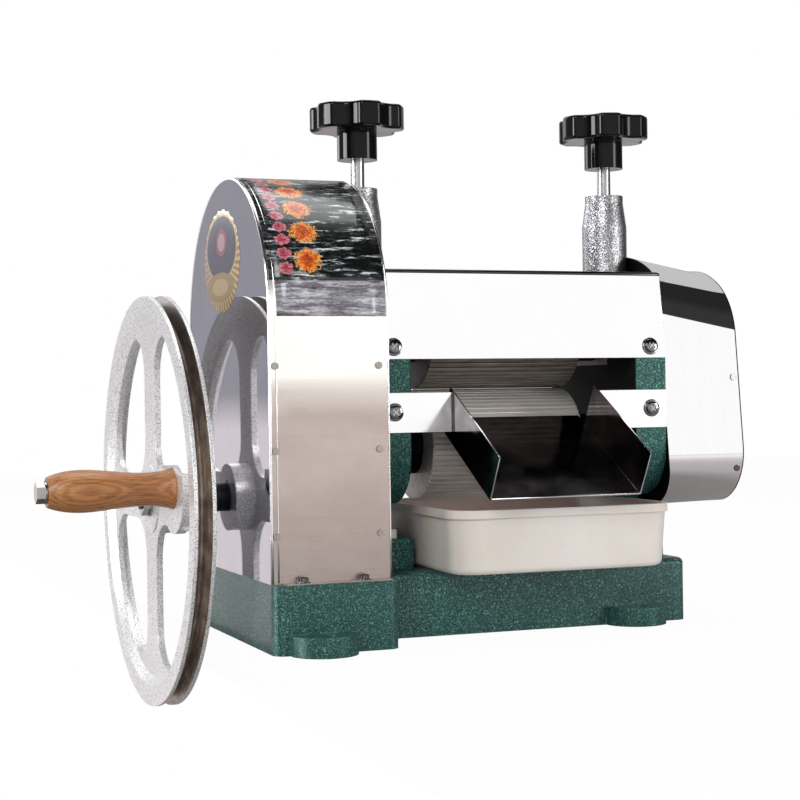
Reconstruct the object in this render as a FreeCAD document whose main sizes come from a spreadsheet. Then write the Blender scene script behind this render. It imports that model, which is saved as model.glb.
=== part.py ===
import FreeCAD, Part
import math
import os
import re
import Sketcher

# Manual sugarcane juicer: two ribbed rollers between cast side frames, driven by an overhung
# handwheel through a two-stage gear train. +X runs along the rollers to the right, +Y to the
# back, +Z up. The origin is on the base's underside, below the middle of the rollers.

doc = FreeCAD.newDocument("juicer")
sheet = doc.addObject("Spreadsheet::Sheet", "sizes")

DRIVING_SIZES = {
    # base casting
    "base_left": 239.5,
    "base_right": 157.5,
    "base_height": 55,
    "base_wall": 9,
    "base_deck": 12,
    "block_width": 105,
    "block_half_depth": 131.5,
    "deck_half_depth": 77,
    "base_corner_radius": 10,
    "deck_edge_radius": 5,
    "lug_radius": 27.5,
    "lug_height": 16,
    "lug_hole_radius": 5.5,
    "lug_hole_reach": 13,
    "left_lug_inset": 39.5,
    "right_lug_inset": 53,
    # side frames
    "frame_spacing": 240,
    "frame_thickness": 30,
    "frame_half_depth": 83,
    "frame_top_half_depth": 73.5,
    "frame_bottom": 110,
    "frame_shoulder": 232,
    "frame_top": 295,
    "frame_corner_radius": 45,
    "leg_half_depth": 30,
    "foot_half_depth": 54,
    "foot_height": 26,
    "foot_reach": 14,
    "foot_corner_radius": 6,
    "tray_side_gap": 1.9,
    "frame_bolt_radius": 6,
    "frame_bolt_place": 42,
    "frame_bolt_depth": 9,
    "frame_bolt_head_thickness": 8,
    "small_hole_depth": 14,
    # rollers
    "roller_radius": 48.5,
    "roller_length": 143,
    "roller_axis_height": 158,
    "rib_count": 60,
    "rib_groove_depth": 1.6,
    "rib_groove_width": 2.6,
    "roller_shaft_radius": 18,
    "roller_bush_radius": 23,
    "spacer_radius": 25,
    "slot_half_width": 31,
    "block_below": 29,
    "block_above": 33,
    "block_cap": 4,
    "end_flange_radius": 25,
    "end_flange_thickness": 4,
    "end_bolt_radius": 6,
    "end_bolt_depth": 25,
    "end_bolt_head_thickness": 7.5,
    "bolt_tip_gap": 2,
    "lower_shaft_stand": 5,
    "small_spacer_wall": 3,
    "shaft_short": 0.5,
    # pressure screws and knobs
    "tower_radius": 20.2,
    "tower_neck_radius": 17.2,
    "tower_flange_half_depth": 50,
    "tower_flange_thickness": 10.5,
    "tower_stem": 47.5,
    "tower_taper": 22,
    "tower_neck": 6.5,
    "tower_bolt_radius": 5,
    "tower_bolt_head_radius": 8,
    "tower_bolt_head_thickness": 5.5,
    "tower_bolt_socket_depth": 3.5,
    "tower_bolt_sink": 0.5,
    "tower_bolt_depth": 18,
    "tower_bolt_place": 39,
    "screw_radius": 6,
    "screw_head_radius": 11,
    "screw_head_thickness": 4,
    "screw_in_knob": 12,
    "knob_above_tower": 25,
    "knob_neck_radius": 17.4,
    "knob_neck_length": 25,
    "knob_head_thickness": 21.5,
    "knob_radius": 41,
    "knob_lobes": 6,
    "knob_scallop_radius": 17,
    "knob_scallop_depth": 6.5,
    "knob_corner_radius": 5,
    "knob_edge_radius": 2.5,
    # gears
    "main_teeth": 54,
    "main_pinion_teeth": 12,
    "drive_module": 3,
    "idler_teeth": 31,
    "drive_pinion_teeth": 14,
    "coupling_module": 3.5,
    "coupling_teeth": 28,
    "gear_backlash": 0.25,
    "pressure_angle": 25,
    "main_gear_width": 24,
    "idler_gear_width": 18,
    "coupling_gear_width": 30,
    "gear_side_gap": 8,
    "main_side_gap": 11,
    "idler_side_gap": 5,
    "pinion_near_overhang": 0.7,
    "pinion_far_overhang": 1,
    "idler_axle_radius": 10,
    "idler_bush_wall": 3,
    "idler_boss_radius": 16.5,
    "axle_seat": 3,
    "axle_end": 6,
    "idler_spacer_wall": 4,
    "retainer_thickness": 2,
    "clip_wall": 3,
    "key_width": 8,
    "key_seat": 4,
    "key_stand": 3,
    "key_near_gap": 1,
    "key_far_gap": 3,
    # handwheel shaft and its bracket
    "wheel_axis_inset": 34,
    "wheel_axis_height": 112.5,
    "wheel_shaft_radius": 12.5,
    "wheel_bush_wall": 3.5,
    "bracket_radius": 24,
    "bracket_arm": 18,
    "arm_frame_gap": 15,
    "arm_idler_gap": 11,
    "bracket_foot_thickness": 12,
    "bracket_foot_half_depth": 31,
    "bracket_bolt_radius": 4,
    "bracket_bolt_place": 23,
    "bracket_bolt_head_thickness": 5.5,
    "collar_radius": 21,
    "collar_width": 10,
    # handwheel
    "wheel_front": 292.2,
    "wheel_radius": 180,
    "rim_width": 18,
    "rim_flange": 3,
    "groove_depth": 12,
    "groove_floor_half_width": 1,
    "rim_depth": 17,
    "web_ring_depth": 25,
    "web_recess": 6,
    "web_thickness": 5.5,
    "spoke_width": 38,
    "window_corner_radius": 34,
    "crank_gap_width": 37,
    "crank_gap_half_height": 75,
    "hub_radius": 30,
    "hub_back": 262.5,
    "hub_nose": 1,
    "wheel_nut_flats": 24,
    "wheel_nut_thickness": 6,
    "wheel_washer_radius": 15,
    "wheel_washer_thickness": 1.8,
    "stud_radius": 8,
    "thread_past_nut": 1.5,
    # crank pad and handle
    "crank_inset": 61,
    "crank_up": 14.5,
    "pad_radius": 38,
    "pad_top": 27,
    "pad_proud": 3,
    "handle_length": 104,
    "handle_end_radius": 12.6,
    "handle_belly_radius": 16.8,
    "handle_waist_radius": 14.2,
    "handle_flare_radius": 17.6,
    "handle_bolt_radius": 5,
    "bolt_clearance": 0.08,
    "handle_washer_radius": 9.5,
    "handle_washer_thickness": 1.5,
    "handle_head_flats": 16,
    "handle_head_thickness": 7,
    # sheet metal covers
    "sheet": 1.2,
    "cover_right": 139,
    "cover_half_depth": 123,
    "cover_gear_gap": 11,
    "arch_above_axis": 8,
    "cover_flange": 8.3,
    "cover_flange_short": 2,
    "cover_joint_gap": 0.2,
    "cover_screw_inset": 25,
    "cover_rivet_inset": 5,
    "cover_plate_recess": 4,
    "cover_screw_head_radius": 4,
    "cover_window_half_depth": 72,
    "cover_window_above_axis": 44,
    "shaft_opening_radius": 16,
    "rivet_radius": 1.6,
    "rivet_head_radius": 2.9,
    "rivet_proud": 0.9,
    "hood_opening_half_depth": 26,
    "hood_opening_margin": 3,
    "cap_right": 212.5,
    "cap_bottom": 102,
    "cap_crest": 326,
    "cap_end_crest": 314,
    "cap_crest_radius": 113,
    "cap_crest_half_span": 51,
    "cap_end_crest_radius": 75,
    "cap_low_outset": 7.5,
    "cap_high_inset": 8,
    "cap_low_radius": 30,
    "cap_high_radius": 28,
    "cap_end_low_radius": 46,
    "cap_end_high_radius": 64,
    "cap_flange": 14,
    "cap_rivet_inset": 6,
    "cap_upper_rivet_height": 107,
    "cap_lower_rivet_turn": 19,
    "cap_lower_screw_rise": 58,
    "cap_upper_screw_rise": 28,
    "small_screw_radius": 3,
    "small_head_radius": 5.5,
    "small_head_thickness": 3.5,
    # chute
    "chute_half_width": 68,
    "chute_slope": 29.3,
    "chute_floor_length": 130,
    "chute_wall_length": 114,
    "chute_wall_height": 39,
    "chute_lip_depth": 158.5,
    "chute_lip_height": 118.5,
    "strip_bottom": 171,
    "strip_top": 204,
    "strip_screw_height": 188,
    "hood_screw_rise": 10,
    # juice tray
    "tray_left": 88,
    "tray_right": 112.5,
    "tray_front": 136,
    "tray_back": 56,
    "tray_height": 53,
    "tray_wall": 2.4,
    "tray_taper": 3,
    "tray_corner_radius": 22,
    "tray_foot_radius": 5,
    "rim_height": 7,
    "rim_reach": 1.6,
    # fits
    "shaft_clearance": 0.05,
    "slide_clearance": 0.15,
    "seat_clearance": 0.3,
}


def add_size(name, value):
    """Put one plain number into the sheet under its alias."""
    row = len(aliases) + 1
    sheet.set(f"A{row}", name)
    sheet.set(f"B{row}", repr(value))
    sheet.setAlias(f"B{row}", name)
    aliases.append(name)


aliases = []
for size_name, size_value in DRIVING_SIZES.items():
    add_size(size_name, size_value)
doc.recompute()


def size(name):
    """The present value of one size."""
    return float(sheet.get(name))


# The main gear fills its cover but for a gap, and the handwheel's shaft keeps its distance
# from the cover's back.
def main_module():
    tip_radius = size("cover_half_depth") - size("cover_gear_gap")
    return 2 * tip_radius / (size("main_teeth") + 2)


add_size("main_module", main_module())
add_size("wheel_axis_depth", size("cover_half_depth") - size("wheel_axis_inset"))
doc.recompute()


# The idler sits where it meshes with both the main gear and the handwheel shaft's pinion.
def idler_centre():
    to_main = size("main_module") * (size("main_teeth") + size("main_pinion_teeth")) / 2
    to_drive = size("drive_module") * (size("idler_teeth") + size("drive_pinion_teeth")) / 2
    upper_axis = size("roller_axis_height") + size("coupling_module") * size("coupling_teeth")
    across = size("wheel_axis_depth")
    down = size("wheel_axis_height") - upper_axis
    reach = math.hypot(across, down)
    along = (to_main ** 2 - to_drive ** 2 + reach ** 2) / (2 * reach)
    aside = math.sqrt(to_main ** 2 - along ** 2)
    depth = (along * across + aside * down) / reach
    height = upper_axis + (along * down - aside * across) / reach
    return depth, height


idler_depth, idler_height = idler_centre()
add_size("idler_depth", round(idler_depth, 4))
add_size("idler_height", round(idler_height, 4))
doc.recompute()

WORDS = re.compile(r"\b(" + "|".join(sorted(aliases, key=len, reverse=True)) + r")\b")

# Places that several pieces share, each as a formula of the sheet's sizes.
UPPER_AXIS = "(roller_axis_height + coupling_module * coupling_teeth)"
FRAME_INSIDE = "(frame_spacing / 2 - frame_thickness / 2)"
FRAME_OUTSIDE = "(frame_spacing / 2 + frame_thickness / 2)"
ARCH_HEIGHT = f"({UPPER_AXIS} + arch_above_axis)"
BLOCK_RIGHT = "(base_left - block_width)"
FOOT_TOP = "(base_height + foot_height)"
FLANGE_TOP = "(frame_top + tower_flange_thickness)"
TOWER_SHOULDER = f"({FLANGE_TOP} + tower_stem)"
TOWER_NECK = f"({TOWER_SHOULDER} + tower_taper)"
TOWER_TOP = f"({TOWER_NECK} + tower_neck)"
KNOB_BOTTOM = f"({TOWER_TOP} + knob_above_tower)"
KNOB_HEAD = f"({KNOB_BOTTOM} + knob_neck_length)"
MAIN_RIGHT = f"({FRAME_OUTSIDE} + main_side_gap)"
MAIN_LEFT = f"({MAIN_RIGHT} + main_gear_width)"
IDLER_RIGHT = f"({MAIN_LEFT} + idler_side_gap)"
IDLER_LEFT = f"({IDLER_RIGHT} + idler_gear_width)"
COUPLING_LEFT = f"({FRAME_OUTSIDE} + gear_side_gap)"
COUPLING_RIGHT = f"({COUPLING_LEFT} + coupling_gear_width)"
ARM_INNER_RIGHT = f"({FRAME_OUTSIDE} + arm_frame_gap)"
ARM_INNER_LEFT = f"({ARM_INNER_RIGHT} + bracket_arm)"
ARM_OUTER_RIGHT = f"({IDLER_LEFT} + arm_idler_gap)"
ARM_OUTER_LEFT = f"({ARM_OUTER_RIGHT} + bracket_arm)"
RIM_INSIDE = "(wheel_radius - rim_depth)"
WEB_RING = "(wheel_radius - web_ring_depth)"
WEB_FRONT = "(wheel_front - web_recess)"
WEB_BACK = "(wheel_front - web_recess - web_thickness)"
HUB_FRONT = f"({WEB_FRONT} + hub_nose)"
PAD_FRONT = f"({WEB_FRONT} + pad_proud)"
CRANK_DEPTH = f"(wheel_axis_depth - ({WEB_RING} - crank_inset))"
CRANK_HEIGHT = "(wheel_axis_height + crank_up)"
HANDLE_INNER = f"({PAD_FRONT} + seat_clearance)"
HANDLE_OUTER = f"({HANDLE_INNER} + handle_length)"
HOOD_SCREW_HEIGHT = "(frame_shoulder + hood_screw_rise)"
CAP_LOW_HALF = "(frame_half_depth + cap_low_outset)"
CAP_HIGH_HALF = "(frame_top_half_depth - cap_high_inset)"
HOOD_LEAN = "((frame_half_depth - frame_top_half_depth) / (frame_top - frame_shoulder))"

SLOT_FLOOR = f"({UPPER_AXIS} - block_below)"
BLOCK_TOP = f"({UPPER_AXIS} + block_above)"
SCREW_HEAD_BOTTOM = f"({BLOCK_TOP} - block_cap - seat_clearance - screw_head_thickness)"
HOOD_TOP = f"({FLANGE_TOP} + sheet)"
UPPER = ("0", UPPER_AXIS)
LOWER = ("0", "roller_axis_height")
IDLER = ("idler_depth", "idler_height")
WHEEL = ("wheel_axis_depth", "wheel_axis_height")
CRANK = (CRANK_DEPTH, CRANK_HEIGHT)

nodes = []


def formula(text):
    """Point the size names in a formula at the sheet."""
    return WORDS.sub(r"sizes.\1", str(text))


def number(text):
    """Work a formula out now, for the few places that need a plain number."""
    return float(sheet.evalExpression(formula(text)))


# ---- building blocks -------------------------------------------------------------------

ALONG_X = FreeCAD.Rotation(FreeCAD.Vector(0, 1, 0), 90)
ALONG_Y = FreeCAD.Rotation(FreeCAD.Vector(1, 0, 0), -90)
ALONG_Z = FreeCAD.Rotation()
GEAR_TURN = FreeCAD.Rotation(FreeCAD.Vector(1, 1, 1), 120)
UPWARD = FreeCAD.Rotation(FreeCAD.Vector(1, 0, 0), 90)


# How far a cutting tool runs on past the metal, and a bolt head's width over its radius.
OVERRUN = 1
HEAD_FLATS = 3.2


def new_name(stem):
    return f"{stem}_{len(doc.Objects)}"


def turn(piece, rotation):
    piece.Placement = FreeCAD.Placement(FreeCAD.Vector(0, 0, 0), rotation)


def place(piece, x, y, z):
    for axis, text in (("x", x), ("y", y), ("z", z)):
        piece.setExpression(f"Placement.Base.{axis}", formula(text))


def box(x, y, z, stem="block"):
    """A box from three (low, high) pairs."""
    piece = doc.addObject("Part::Box", new_name(stem))
    for side, (low, high) in (("Length", x), ("Width", y), ("Height", z)):
        piece.setExpression(side, formula(f"({high}) - ({low})"))
    place(piece, x[0], y[0], z[0])
    return piece


def set_along(piece, axis, spot, low):
    """Stand a round piece along one axis, from low, centred on the two other coordinates."""
    first, second = spot
    turn(piece, {"x": ALONG_X, "y": ALONG_Y, "z": ALONG_Z}[axis])
    spots = {"x": (low, first, second), "y": (first, low, second), "z": (first, second, low)}
    place(piece, *spots[axis])


def rod(axis, radius, spot, span, stem="round"):
    """A cylinder along an axis, over the span (low, high)."""
    piece = doc.addObject("Part::Cylinder", new_name(stem))
    piece.setExpression("Radius", formula(radius))
    piece.setExpression("Height", formula(f"({span[1]}) - ({span[0]})"))
    set_along(piece, axis, spot, span[0])
    return piece


def cone(axis, radii, spot, span, stem="cone"):
    piece = doc.addObject("Part::Cone", new_name(stem))
    piece.setExpression("Radius1", formula(radii[0]))
    piece.setExpression("Radius2", formula(radii[1]))
    piece.setExpression("Height", formula(f"({span[1]}) - ({span[0]})"))
    set_along(piece, axis, spot, span[0])
    return piece


def hexagon(axis, flats, spot, span, stem="hexagon"):
    """A hexagonal head or nut, by its width across flats."""
    piece = doc.addObject("Part::Prism", new_name(stem))
    piece.Polygon = 6
    piece.setExpression("Circumradius", formula(f"({flats}) / sqrt(3)"))
    piece.setExpression("Height", formula(f"({span[1]}) - ({span[0]})"))
    set_along(piece, axis, spot, span[0])
    return piece


def tapered(z, low, high, stem="tapered"):
    """A block whose (x, y) spans change from low to high over the height z."""
    piece = doc.addObject("Part::Wedge", new_name(stem))
    turn(piece, UPWARD)
    ends = {"Ymin": z[0], "Ymax": z[1]}
    for mark, (x, y) in (("", low), ("2", high)):
        ends[f"X{mark}min"] = x[0]
        ends[f"X{mark}max"] = x[1]
        ends[f"Z{mark}min"] = f"-({y[1]})"
        ends[f"Z{mark}max"] = f"-({y[0]})"
    for side, text in ends.items():
        piece.setExpression(side, formula(text))
    return piece


def under(low):
    return f"({low}) - {OVERRUN}"


def over(high):
    return f"({high}) + {OVERRUN}"


def past(span):
    """A span run on past both ends, for a tool that cuts right through."""
    return under(span[0]), over(span[1])


def across(half):
    """The span of a piece that lies evenly on both sides of the middle."""
    return f"-({half})", half


def radial_rod(radius, centre, angle, reach, x, stem="radial"):
    """A cylinder across X that points away from a centre, between two reaches."""
    piece = doc.addObject("Part::Cylinder", new_name(stem))
    piece.setExpression("Radius", formula(radius))
    piece.setExpression("Height", formula(f"({reach[1]}) - ({reach[0]})"))
    turn(piece, FreeCAD.Rotation(FreeCAD.Vector(1, 0, 0), 45))
    piece.setExpression("Placement.Rotation.Angle", formula(f"({angle} - 90) * 1 deg"))
    depth = f"{centre[0]} + ({reach[0]}) * cos(({angle}) * 1 deg)"
    place(piece, x, depth, f"{centre[1]} + ({reach[0]}) * sin(({angle}) * 1 deg)")
    return piece


def fuse(*pieces):
    piece = doc.addObject("Part::MultiFuse", new_name("joined"))
    piece.Shapes = list(pieces)
    piece.Refine = True
    return piece


def cut(base, *tools):
    piece = doc.addObject("Part::Cut", new_name("cut"))
    piece.Base = base
    piece.Tool = tools[0] if len(tools) == 1 else fuse(*tools)
    piece.Refine = True
    return piece


def common(first, second):
    piece = doc.addObject("Part::Common", new_name("shared"))
    piece.Base = first
    piece.Tool = second
    return piece


def group(*pieces):
    """Separate solids that share one node."""
    piece = doc.addObject("Part::Compound", new_name("group"))
    piece.Links = list(pieces)
    return piece


def round_edges(base, radius, chosen):
    """Round the edges that chosen(edge) picks."""
    doc.recompute()
    piece = doc.addObject("Part::Fillet", new_name("rounded"))
    piece.Base = base
    picked = [i for i, edge in enumerate(base.Shape.Edges, 1) if chosen(edge)]
    piece.Edges = [(i, radius, radius) for i in picked]
    return piece


def runs_along(axis):
    """Pick straight edges parallel to an axis."""
    way = {"x": FreeCAD.Vector(1, 0, 0), "y": FreeCAD.Vector(0, 1, 0), "z": FreeCAD.Vector(0, 0, 1)}

    def chosen(edge):
        straight = isinstance(edge.Curve, (Part.Line, Part.LineSegment))
        return straight and abs(abs(edge.Curve.Direction.dot(way[axis])) - 1) < 1e-6
    return chosen


def lies_at_height(*heights):
    """Pick edges whose middle is at one of the heights."""
    return lambda edge: min(abs(edge.CenterOfMass.z - height) for height in heights) < 0.01


def polar(radius, angle):
    return FreeCAD.Vector(radius * math.cos(angle), radius * math.sin(angle), 0)


def arc_between(radius, start, end):
    middle = polar(radius, (start + end) / 2)
    return Part.Arc(polar(radius, start), middle, polar(radius, end)).toShape()


def shaped(shape, stem="shaped"):
    piece = doc.addObject("Part::Feature", new_name(stem))
    piece.Shape = shape
    return piece


def node(name, piece):
    """Give a finished sub-part the name that its file carries."""
    piece.Label = name
    nodes.append(piece)
    return piece


def span_beside(side, near, far):
    """The X span between two distances from the middle, on one side."""
    return (near, far) if side > 0 else (f"-({far})", f"-({near})")


# ---- base ------------------------------------------------------------------------------

LUGS = (("-(base_left - left_lug_inset)", "block_half_depth"),
        ("base_right - right_lug_inset", "deck_half_depth"))


def base_block(x, half_depth, stem):
    block = box(x, across(half_depth), ("0", "base_height"), stem)
    return round_edges(block, size("base_corner_radius"), runs_along("z"))


def base_hollow(x, half_depth):
    return box(x, (f"-({half_depth} - base_wall)", f"{half_depth} - base_wall"),
               (under("0"), "base_height - base_deck"))


def base_casting():
    left = base_block(("-base_left", f"-{BLOCK_RIGHT}"), "block_half_depth", "drive_block")
    right = base_block((f"-{BLOCK_RIGHT} - 3 * base_wall", "base_right"), "deck_half_depth", "deck")
    right = round_edges(right, size("deck_edge_radius"), lies_at_height(size("base_height")))
    lugs = []
    holes = []
    for x, half_depth in LUGS:
        for way in ("-", ""):
            lugs.append(rod("z", "lug_radius", (x, f"{way}({half_depth})"), ("0", "lug_height")))
            hole_depth = f"{way}({half_depth} + lug_hole_reach)"
            holes.append(rod("z", "lug_hole_radius", (x, hole_depth), past(("0", "lug_height"))))
    # A cross rib under the rollers parts the deck's hollow in two.
    hollows = [
        base_hollow(("-(base_left - base_wall)", f"-({BLOCK_RIGHT} + base_wall)"), "block_half_depth"),
        base_hollow((f"-({BLOCK_RIGHT} - base_wall)", "-base_wall / 2"), "deck_half_depth"),
        base_hollow(("base_wall / 2", "base_right - base_wall"), "deck_half_depth"),
    ]
    drilled = ("base_height - frame_bolt_depth", over("base_height"))
    bores = [rod("z", "frame_bolt_radius", spot, drilled) for spot in frame_bolt_spots()]
    bores += [rod("z", "bracket_bolt_radius", spot, drilled) for spot in bracket_bolt_spots()]
    bores += [rod("z", "small_screw_radius", spot, drilled) for spot in cover_screw_spots()]
    body = fuse(left, right, *lugs)
    return node("base_casting", cut(body, *(hollows + holes + bores)))


# ---- side frames -----------------------------------------------------------------------

LEG_INSIDE = "(tray_right + rim_reach + tray_side_gap)"
FOOT_SPANS = {-1: (f"-{FRAME_OUTSIDE}", f"-({FRAME_INSIDE} - foot_reach)"),
              1: (LEG_INSIDE, f"({FRAME_OUTSIDE} + foot_reach)")}
LEG_SPANS = {-1: (f"-{FRAME_OUTSIDE}", f"-{FRAME_INSIDE}"), 1: (LEG_INSIDE, FRAME_OUTSIDE)}


def frame_bolt_spots(sides=(-1, 1)):
    """Where the frame bolts go down through the feet."""
    middles = [f"(({FOOT_SPANS[side][0]}) + ({FOOT_SPANS[side][1]})) / 2" for side in sides]
    return [(x, f"{way}frame_bolt_place") for x in middles for way in ("-", "")]


def bottom_corner(x, way):
    """The wedge of metal that a rounded lower corner leaves off."""
    low = (under("-frame_half_depth"), "-(frame_half_depth - frame_corner_radius)")
    high = ("frame_half_depth - frame_corner_radius", over("frame_half_depth"))
    centre = f"{'-' if way < 0 else ''}(frame_half_depth - frame_corner_radius)"
    top = "frame_bottom + frame_corner_radius"
    block = box(x, low if way < 0 else high, (under("frame_bottom"), top))
    return cut(block, rod("x", "frame_corner_radius", (centre, top), past(x)))


def side_frame(side, name):
    x = span_beside(side, FRAME_INSIDE, FRAME_OUTSIDE)
    through = past(x)
    middle = f"{side} * frame_spacing / 2"
    plate = box(x, across("frame_half_depth"), ("frame_bottom", "frame_shoulder"))
    plate = cut(plate, bottom_corner(x, -1), bottom_corner(x, 1))
    head = tapered(("frame_shoulder", "frame_top"), (x, across("frame_half_depth")),
                   (x, across("frame_top_half_depth")))
    leg = box(LEG_SPANS[side], across("leg_half_depth"), (FOOT_TOP, "frame_bottom"))
    foot = box(FOOT_SPANS[side], across("foot_half_depth"), ("base_height", FOOT_TOP))
    foot = round_edges(foot, size("foot_corner_radius"), runs_along("z"))
    holes = [rod("x", "roller_bush_radius", LOWER, through)]
    holes.append(box(through, across("slot_half_width"), (SLOT_FLOOR, over("frame_top"))))
    for spot in frame_bolt_spots([side]):
        holes.append(rod("z", "frame_bolt_radius", spot, past(("base_height", FOOT_TOP))))
    tapped = ("frame_top - tower_bolt_depth", over("frame_top"))
    holes += [rod("z", "tower_bolt_radius", (middle, y), tapped) for y in across("tower_bolt_place")]
    holes.append(strip_screw_rod(side, "small_screw_radius", ("-small_hole_depth", over("0"))))
    for way in (-1, 1):
        holes.append(hood_screw_rod(side, way, "small_screw_radius", ("-small_hole_depth", over("sheet"))))
    if side < 0:
        holes.append(rod("x", "idler_axle_radius", IDLER, (under(x[0]), f"{x[1]} - axle_seat")))
    else:
        holes += cap_screw_rods("small_screw_radius", (f"{x[1]} - small_hole_depth", over(x[1])))
    return node(name, cut(fuse(plate, head, leg, foot), *holes))


def frame_bolts():
    """Four hexagon bolts that hold the feet to the base."""
    bolts = []
    for x, y in frame_bolt_spots():
        shank = rod("z", "frame_bolt_radius", (x, y), ("base_height - frame_bolt_depth", FOOT_TOP))
        head = hexagon("z", f"{HEAD_FLATS} * frame_bolt_radius", (x, y),
                       (FOOT_TOP, f"{FOOT_TOP} + frame_bolt_head_thickness"))
        bolts.append(fuse(shank, head))
    return node("frame_bolts", group(*bolts))


# ---- screw towers, pressure screws and knobs -------------------------------------------

TOWER_BOLT_SEAT = f"({FLANGE_TOP} - tower_bolt_head_thickness - tower_bolt_sink)"


def screw_tower(side, name):
    x = f"{side} * frame_spacing / 2"
    flange_x = (f"{x} - frame_thickness / 2", f"{x} + frame_thickness / 2")
    flange = box(flange_x, across("tower_flange_half_depth"), ("frame_top", FLANGE_TOP))
    stem = rod("z", "tower_radius", (x, "0"), (FLANGE_TOP, TOWER_SHOULDER))
    taper = cone("z", ("tower_radius", "tower_neck_radius"), (x, "0"), (TOWER_SHOULDER, TOWER_NECK))
    neck = rod("z", "tower_neck_radius", (x, "0"), (TOWER_NECK, TOWER_TOP))
    bore = rod("z", "screw_radius + shaft_clearance", (x, "0"), past(("frame_top", TOWER_TOP)))
    seats = []
    for y in across("tower_bolt_place"):
        seats.append(rod("z", "tower_bolt_radius + seat_clearance", (x, y), past(("frame_top", FLANGE_TOP))))
        seats.append(rod("z", "tower_bolt_head_radius + seat_clearance", (x, y),
                         (TOWER_BOLT_SEAT, over(FLANGE_TOP))))
    return node(name, cut(fuse(flange, stem, taper, neck), bore, *seats))


def tower_bolts():
    """Socket screws that hold the towers down, sunk below the flange."""
    bolts = []
    head_top = f"({FLANGE_TOP} - tower_bolt_sink)"
    for side in (-1, 1):
        for y in across("tower_bolt_place"):
            spot = (f"{side} * frame_spacing / 2", y)
            shank = rod("z", "tower_bolt_radius", spot, ("frame_top - tower_bolt_depth", TOWER_BOLT_SEAT))
            head = rod("z", "tower_bolt_head_radius", spot, (TOWER_BOLT_SEAT, head_top))
            socket = hexagon("z", "tower_bolt_head_radius", spot,
                             (f"{head_top} - tower_bolt_socket_depth", over(head_top)))
            bolts.append(cut(fuse(shank, head), socket))
    return node("tower_bolts", group(*bolts))


def pressure_screw(side, name):
    """The threaded rod, captive by its head in the bearing block's pocket."""
    spot = (f"{side} * frame_spacing / 2", "0")
    head_top = f"{SCREW_HEAD_BOTTOM} + screw_head_thickness"
    head = rod("z", "screw_head_radius", spot, (SCREW_HEAD_BOTTOM, head_top))
    shank = rod("z", "screw_radius", spot, (head_top, f"{KNOB_HEAD} + screw_in_knob"))
    return node(name, fuse(head, shank))


# Where the first lobe of each knob points, in degrees.
KNOB_TURN = {-1: 28, 1: 12}


def knob_outline():
    """The knob's flat outline: lobes parted by scallops, with every corner rounded."""
    lobe = size("knob_radius")
    scallop = size("knob_scallop_radius")
    corner = size("knob_corner_radius")
    reach = lobe + scallop - size("knob_scallop_depth")
    inner = lobe - corner
    aside = math.acos((inner ** 2 + reach ** 2 - (scallop + corner) ** 2) / (2 * inner * reach))
    step = 2 * math.pi / int(size("knob_lobes"))
    edges = []
    for i in range(int(size("knob_lobes"))):
        middle = (i + 0.5) * step
        scallop_centre = polar(reach, middle)
        corners = []
        for way in (-1, 1):
            centre = polar(inner, middle + way * aside)
            on_lobe = polar(lobe, middle + way * aside)
            toward = (scallop_centre - centre).normalize()
            outward = (on_lobe - centre).normalize()
            between = (toward + outward).normalize()
            corners.append((on_lobe, centre + between * corner, centre + toward * corner))
        left, right = corners
        edges.append(Part.Arc(*left).toShape())
        edges.append(Part.Arc(left[2], polar(reach - scallop, middle), right[2]).toShape())
        edges.append(Part.Arc(*reversed(right)).toShape())
        edges.append(arc_between(lobe, middle + aside, middle + step - aside))
    return Part.Face(Part.Wire(edges))


def star_knob(side, name):
    """A scalloped hand knob on a plain neck."""
    x = f"{side} * frame_spacing / 2"
    head_top = f"({KNOB_HEAD} + knob_head_thickness)"
    thickness = FreeCAD.Vector(0, 0, size("knob_head_thickness"))
    head = shaped(knob_outline().extrude(thickness), "knob_head")
    turn(head, FreeCAD.Rotation(FreeCAD.Vector(0, 0, 1), KNOB_TURN[side]))
    place(head, x, "0", KNOB_HEAD)
    head = round_edges(head, size("knob_edge_radius"), lies_at_height(number(KNOB_HEAD), number(head_top)))
    neck = rod("z", "knob_neck_radius", (x, "0"), (KNOB_BOTTOM, f"{KNOB_HEAD} + knob_edge_radius"))
    bore = rod("z", "screw_radius", (x, "0"), (under(KNOB_BOTTOM), f"{KNOB_HEAD} + screw_in_knob"))
    return node(name, cut(fuse(head, neck), bore))


# ---- rollers and their bearings --------------------------------------------------------

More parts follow.
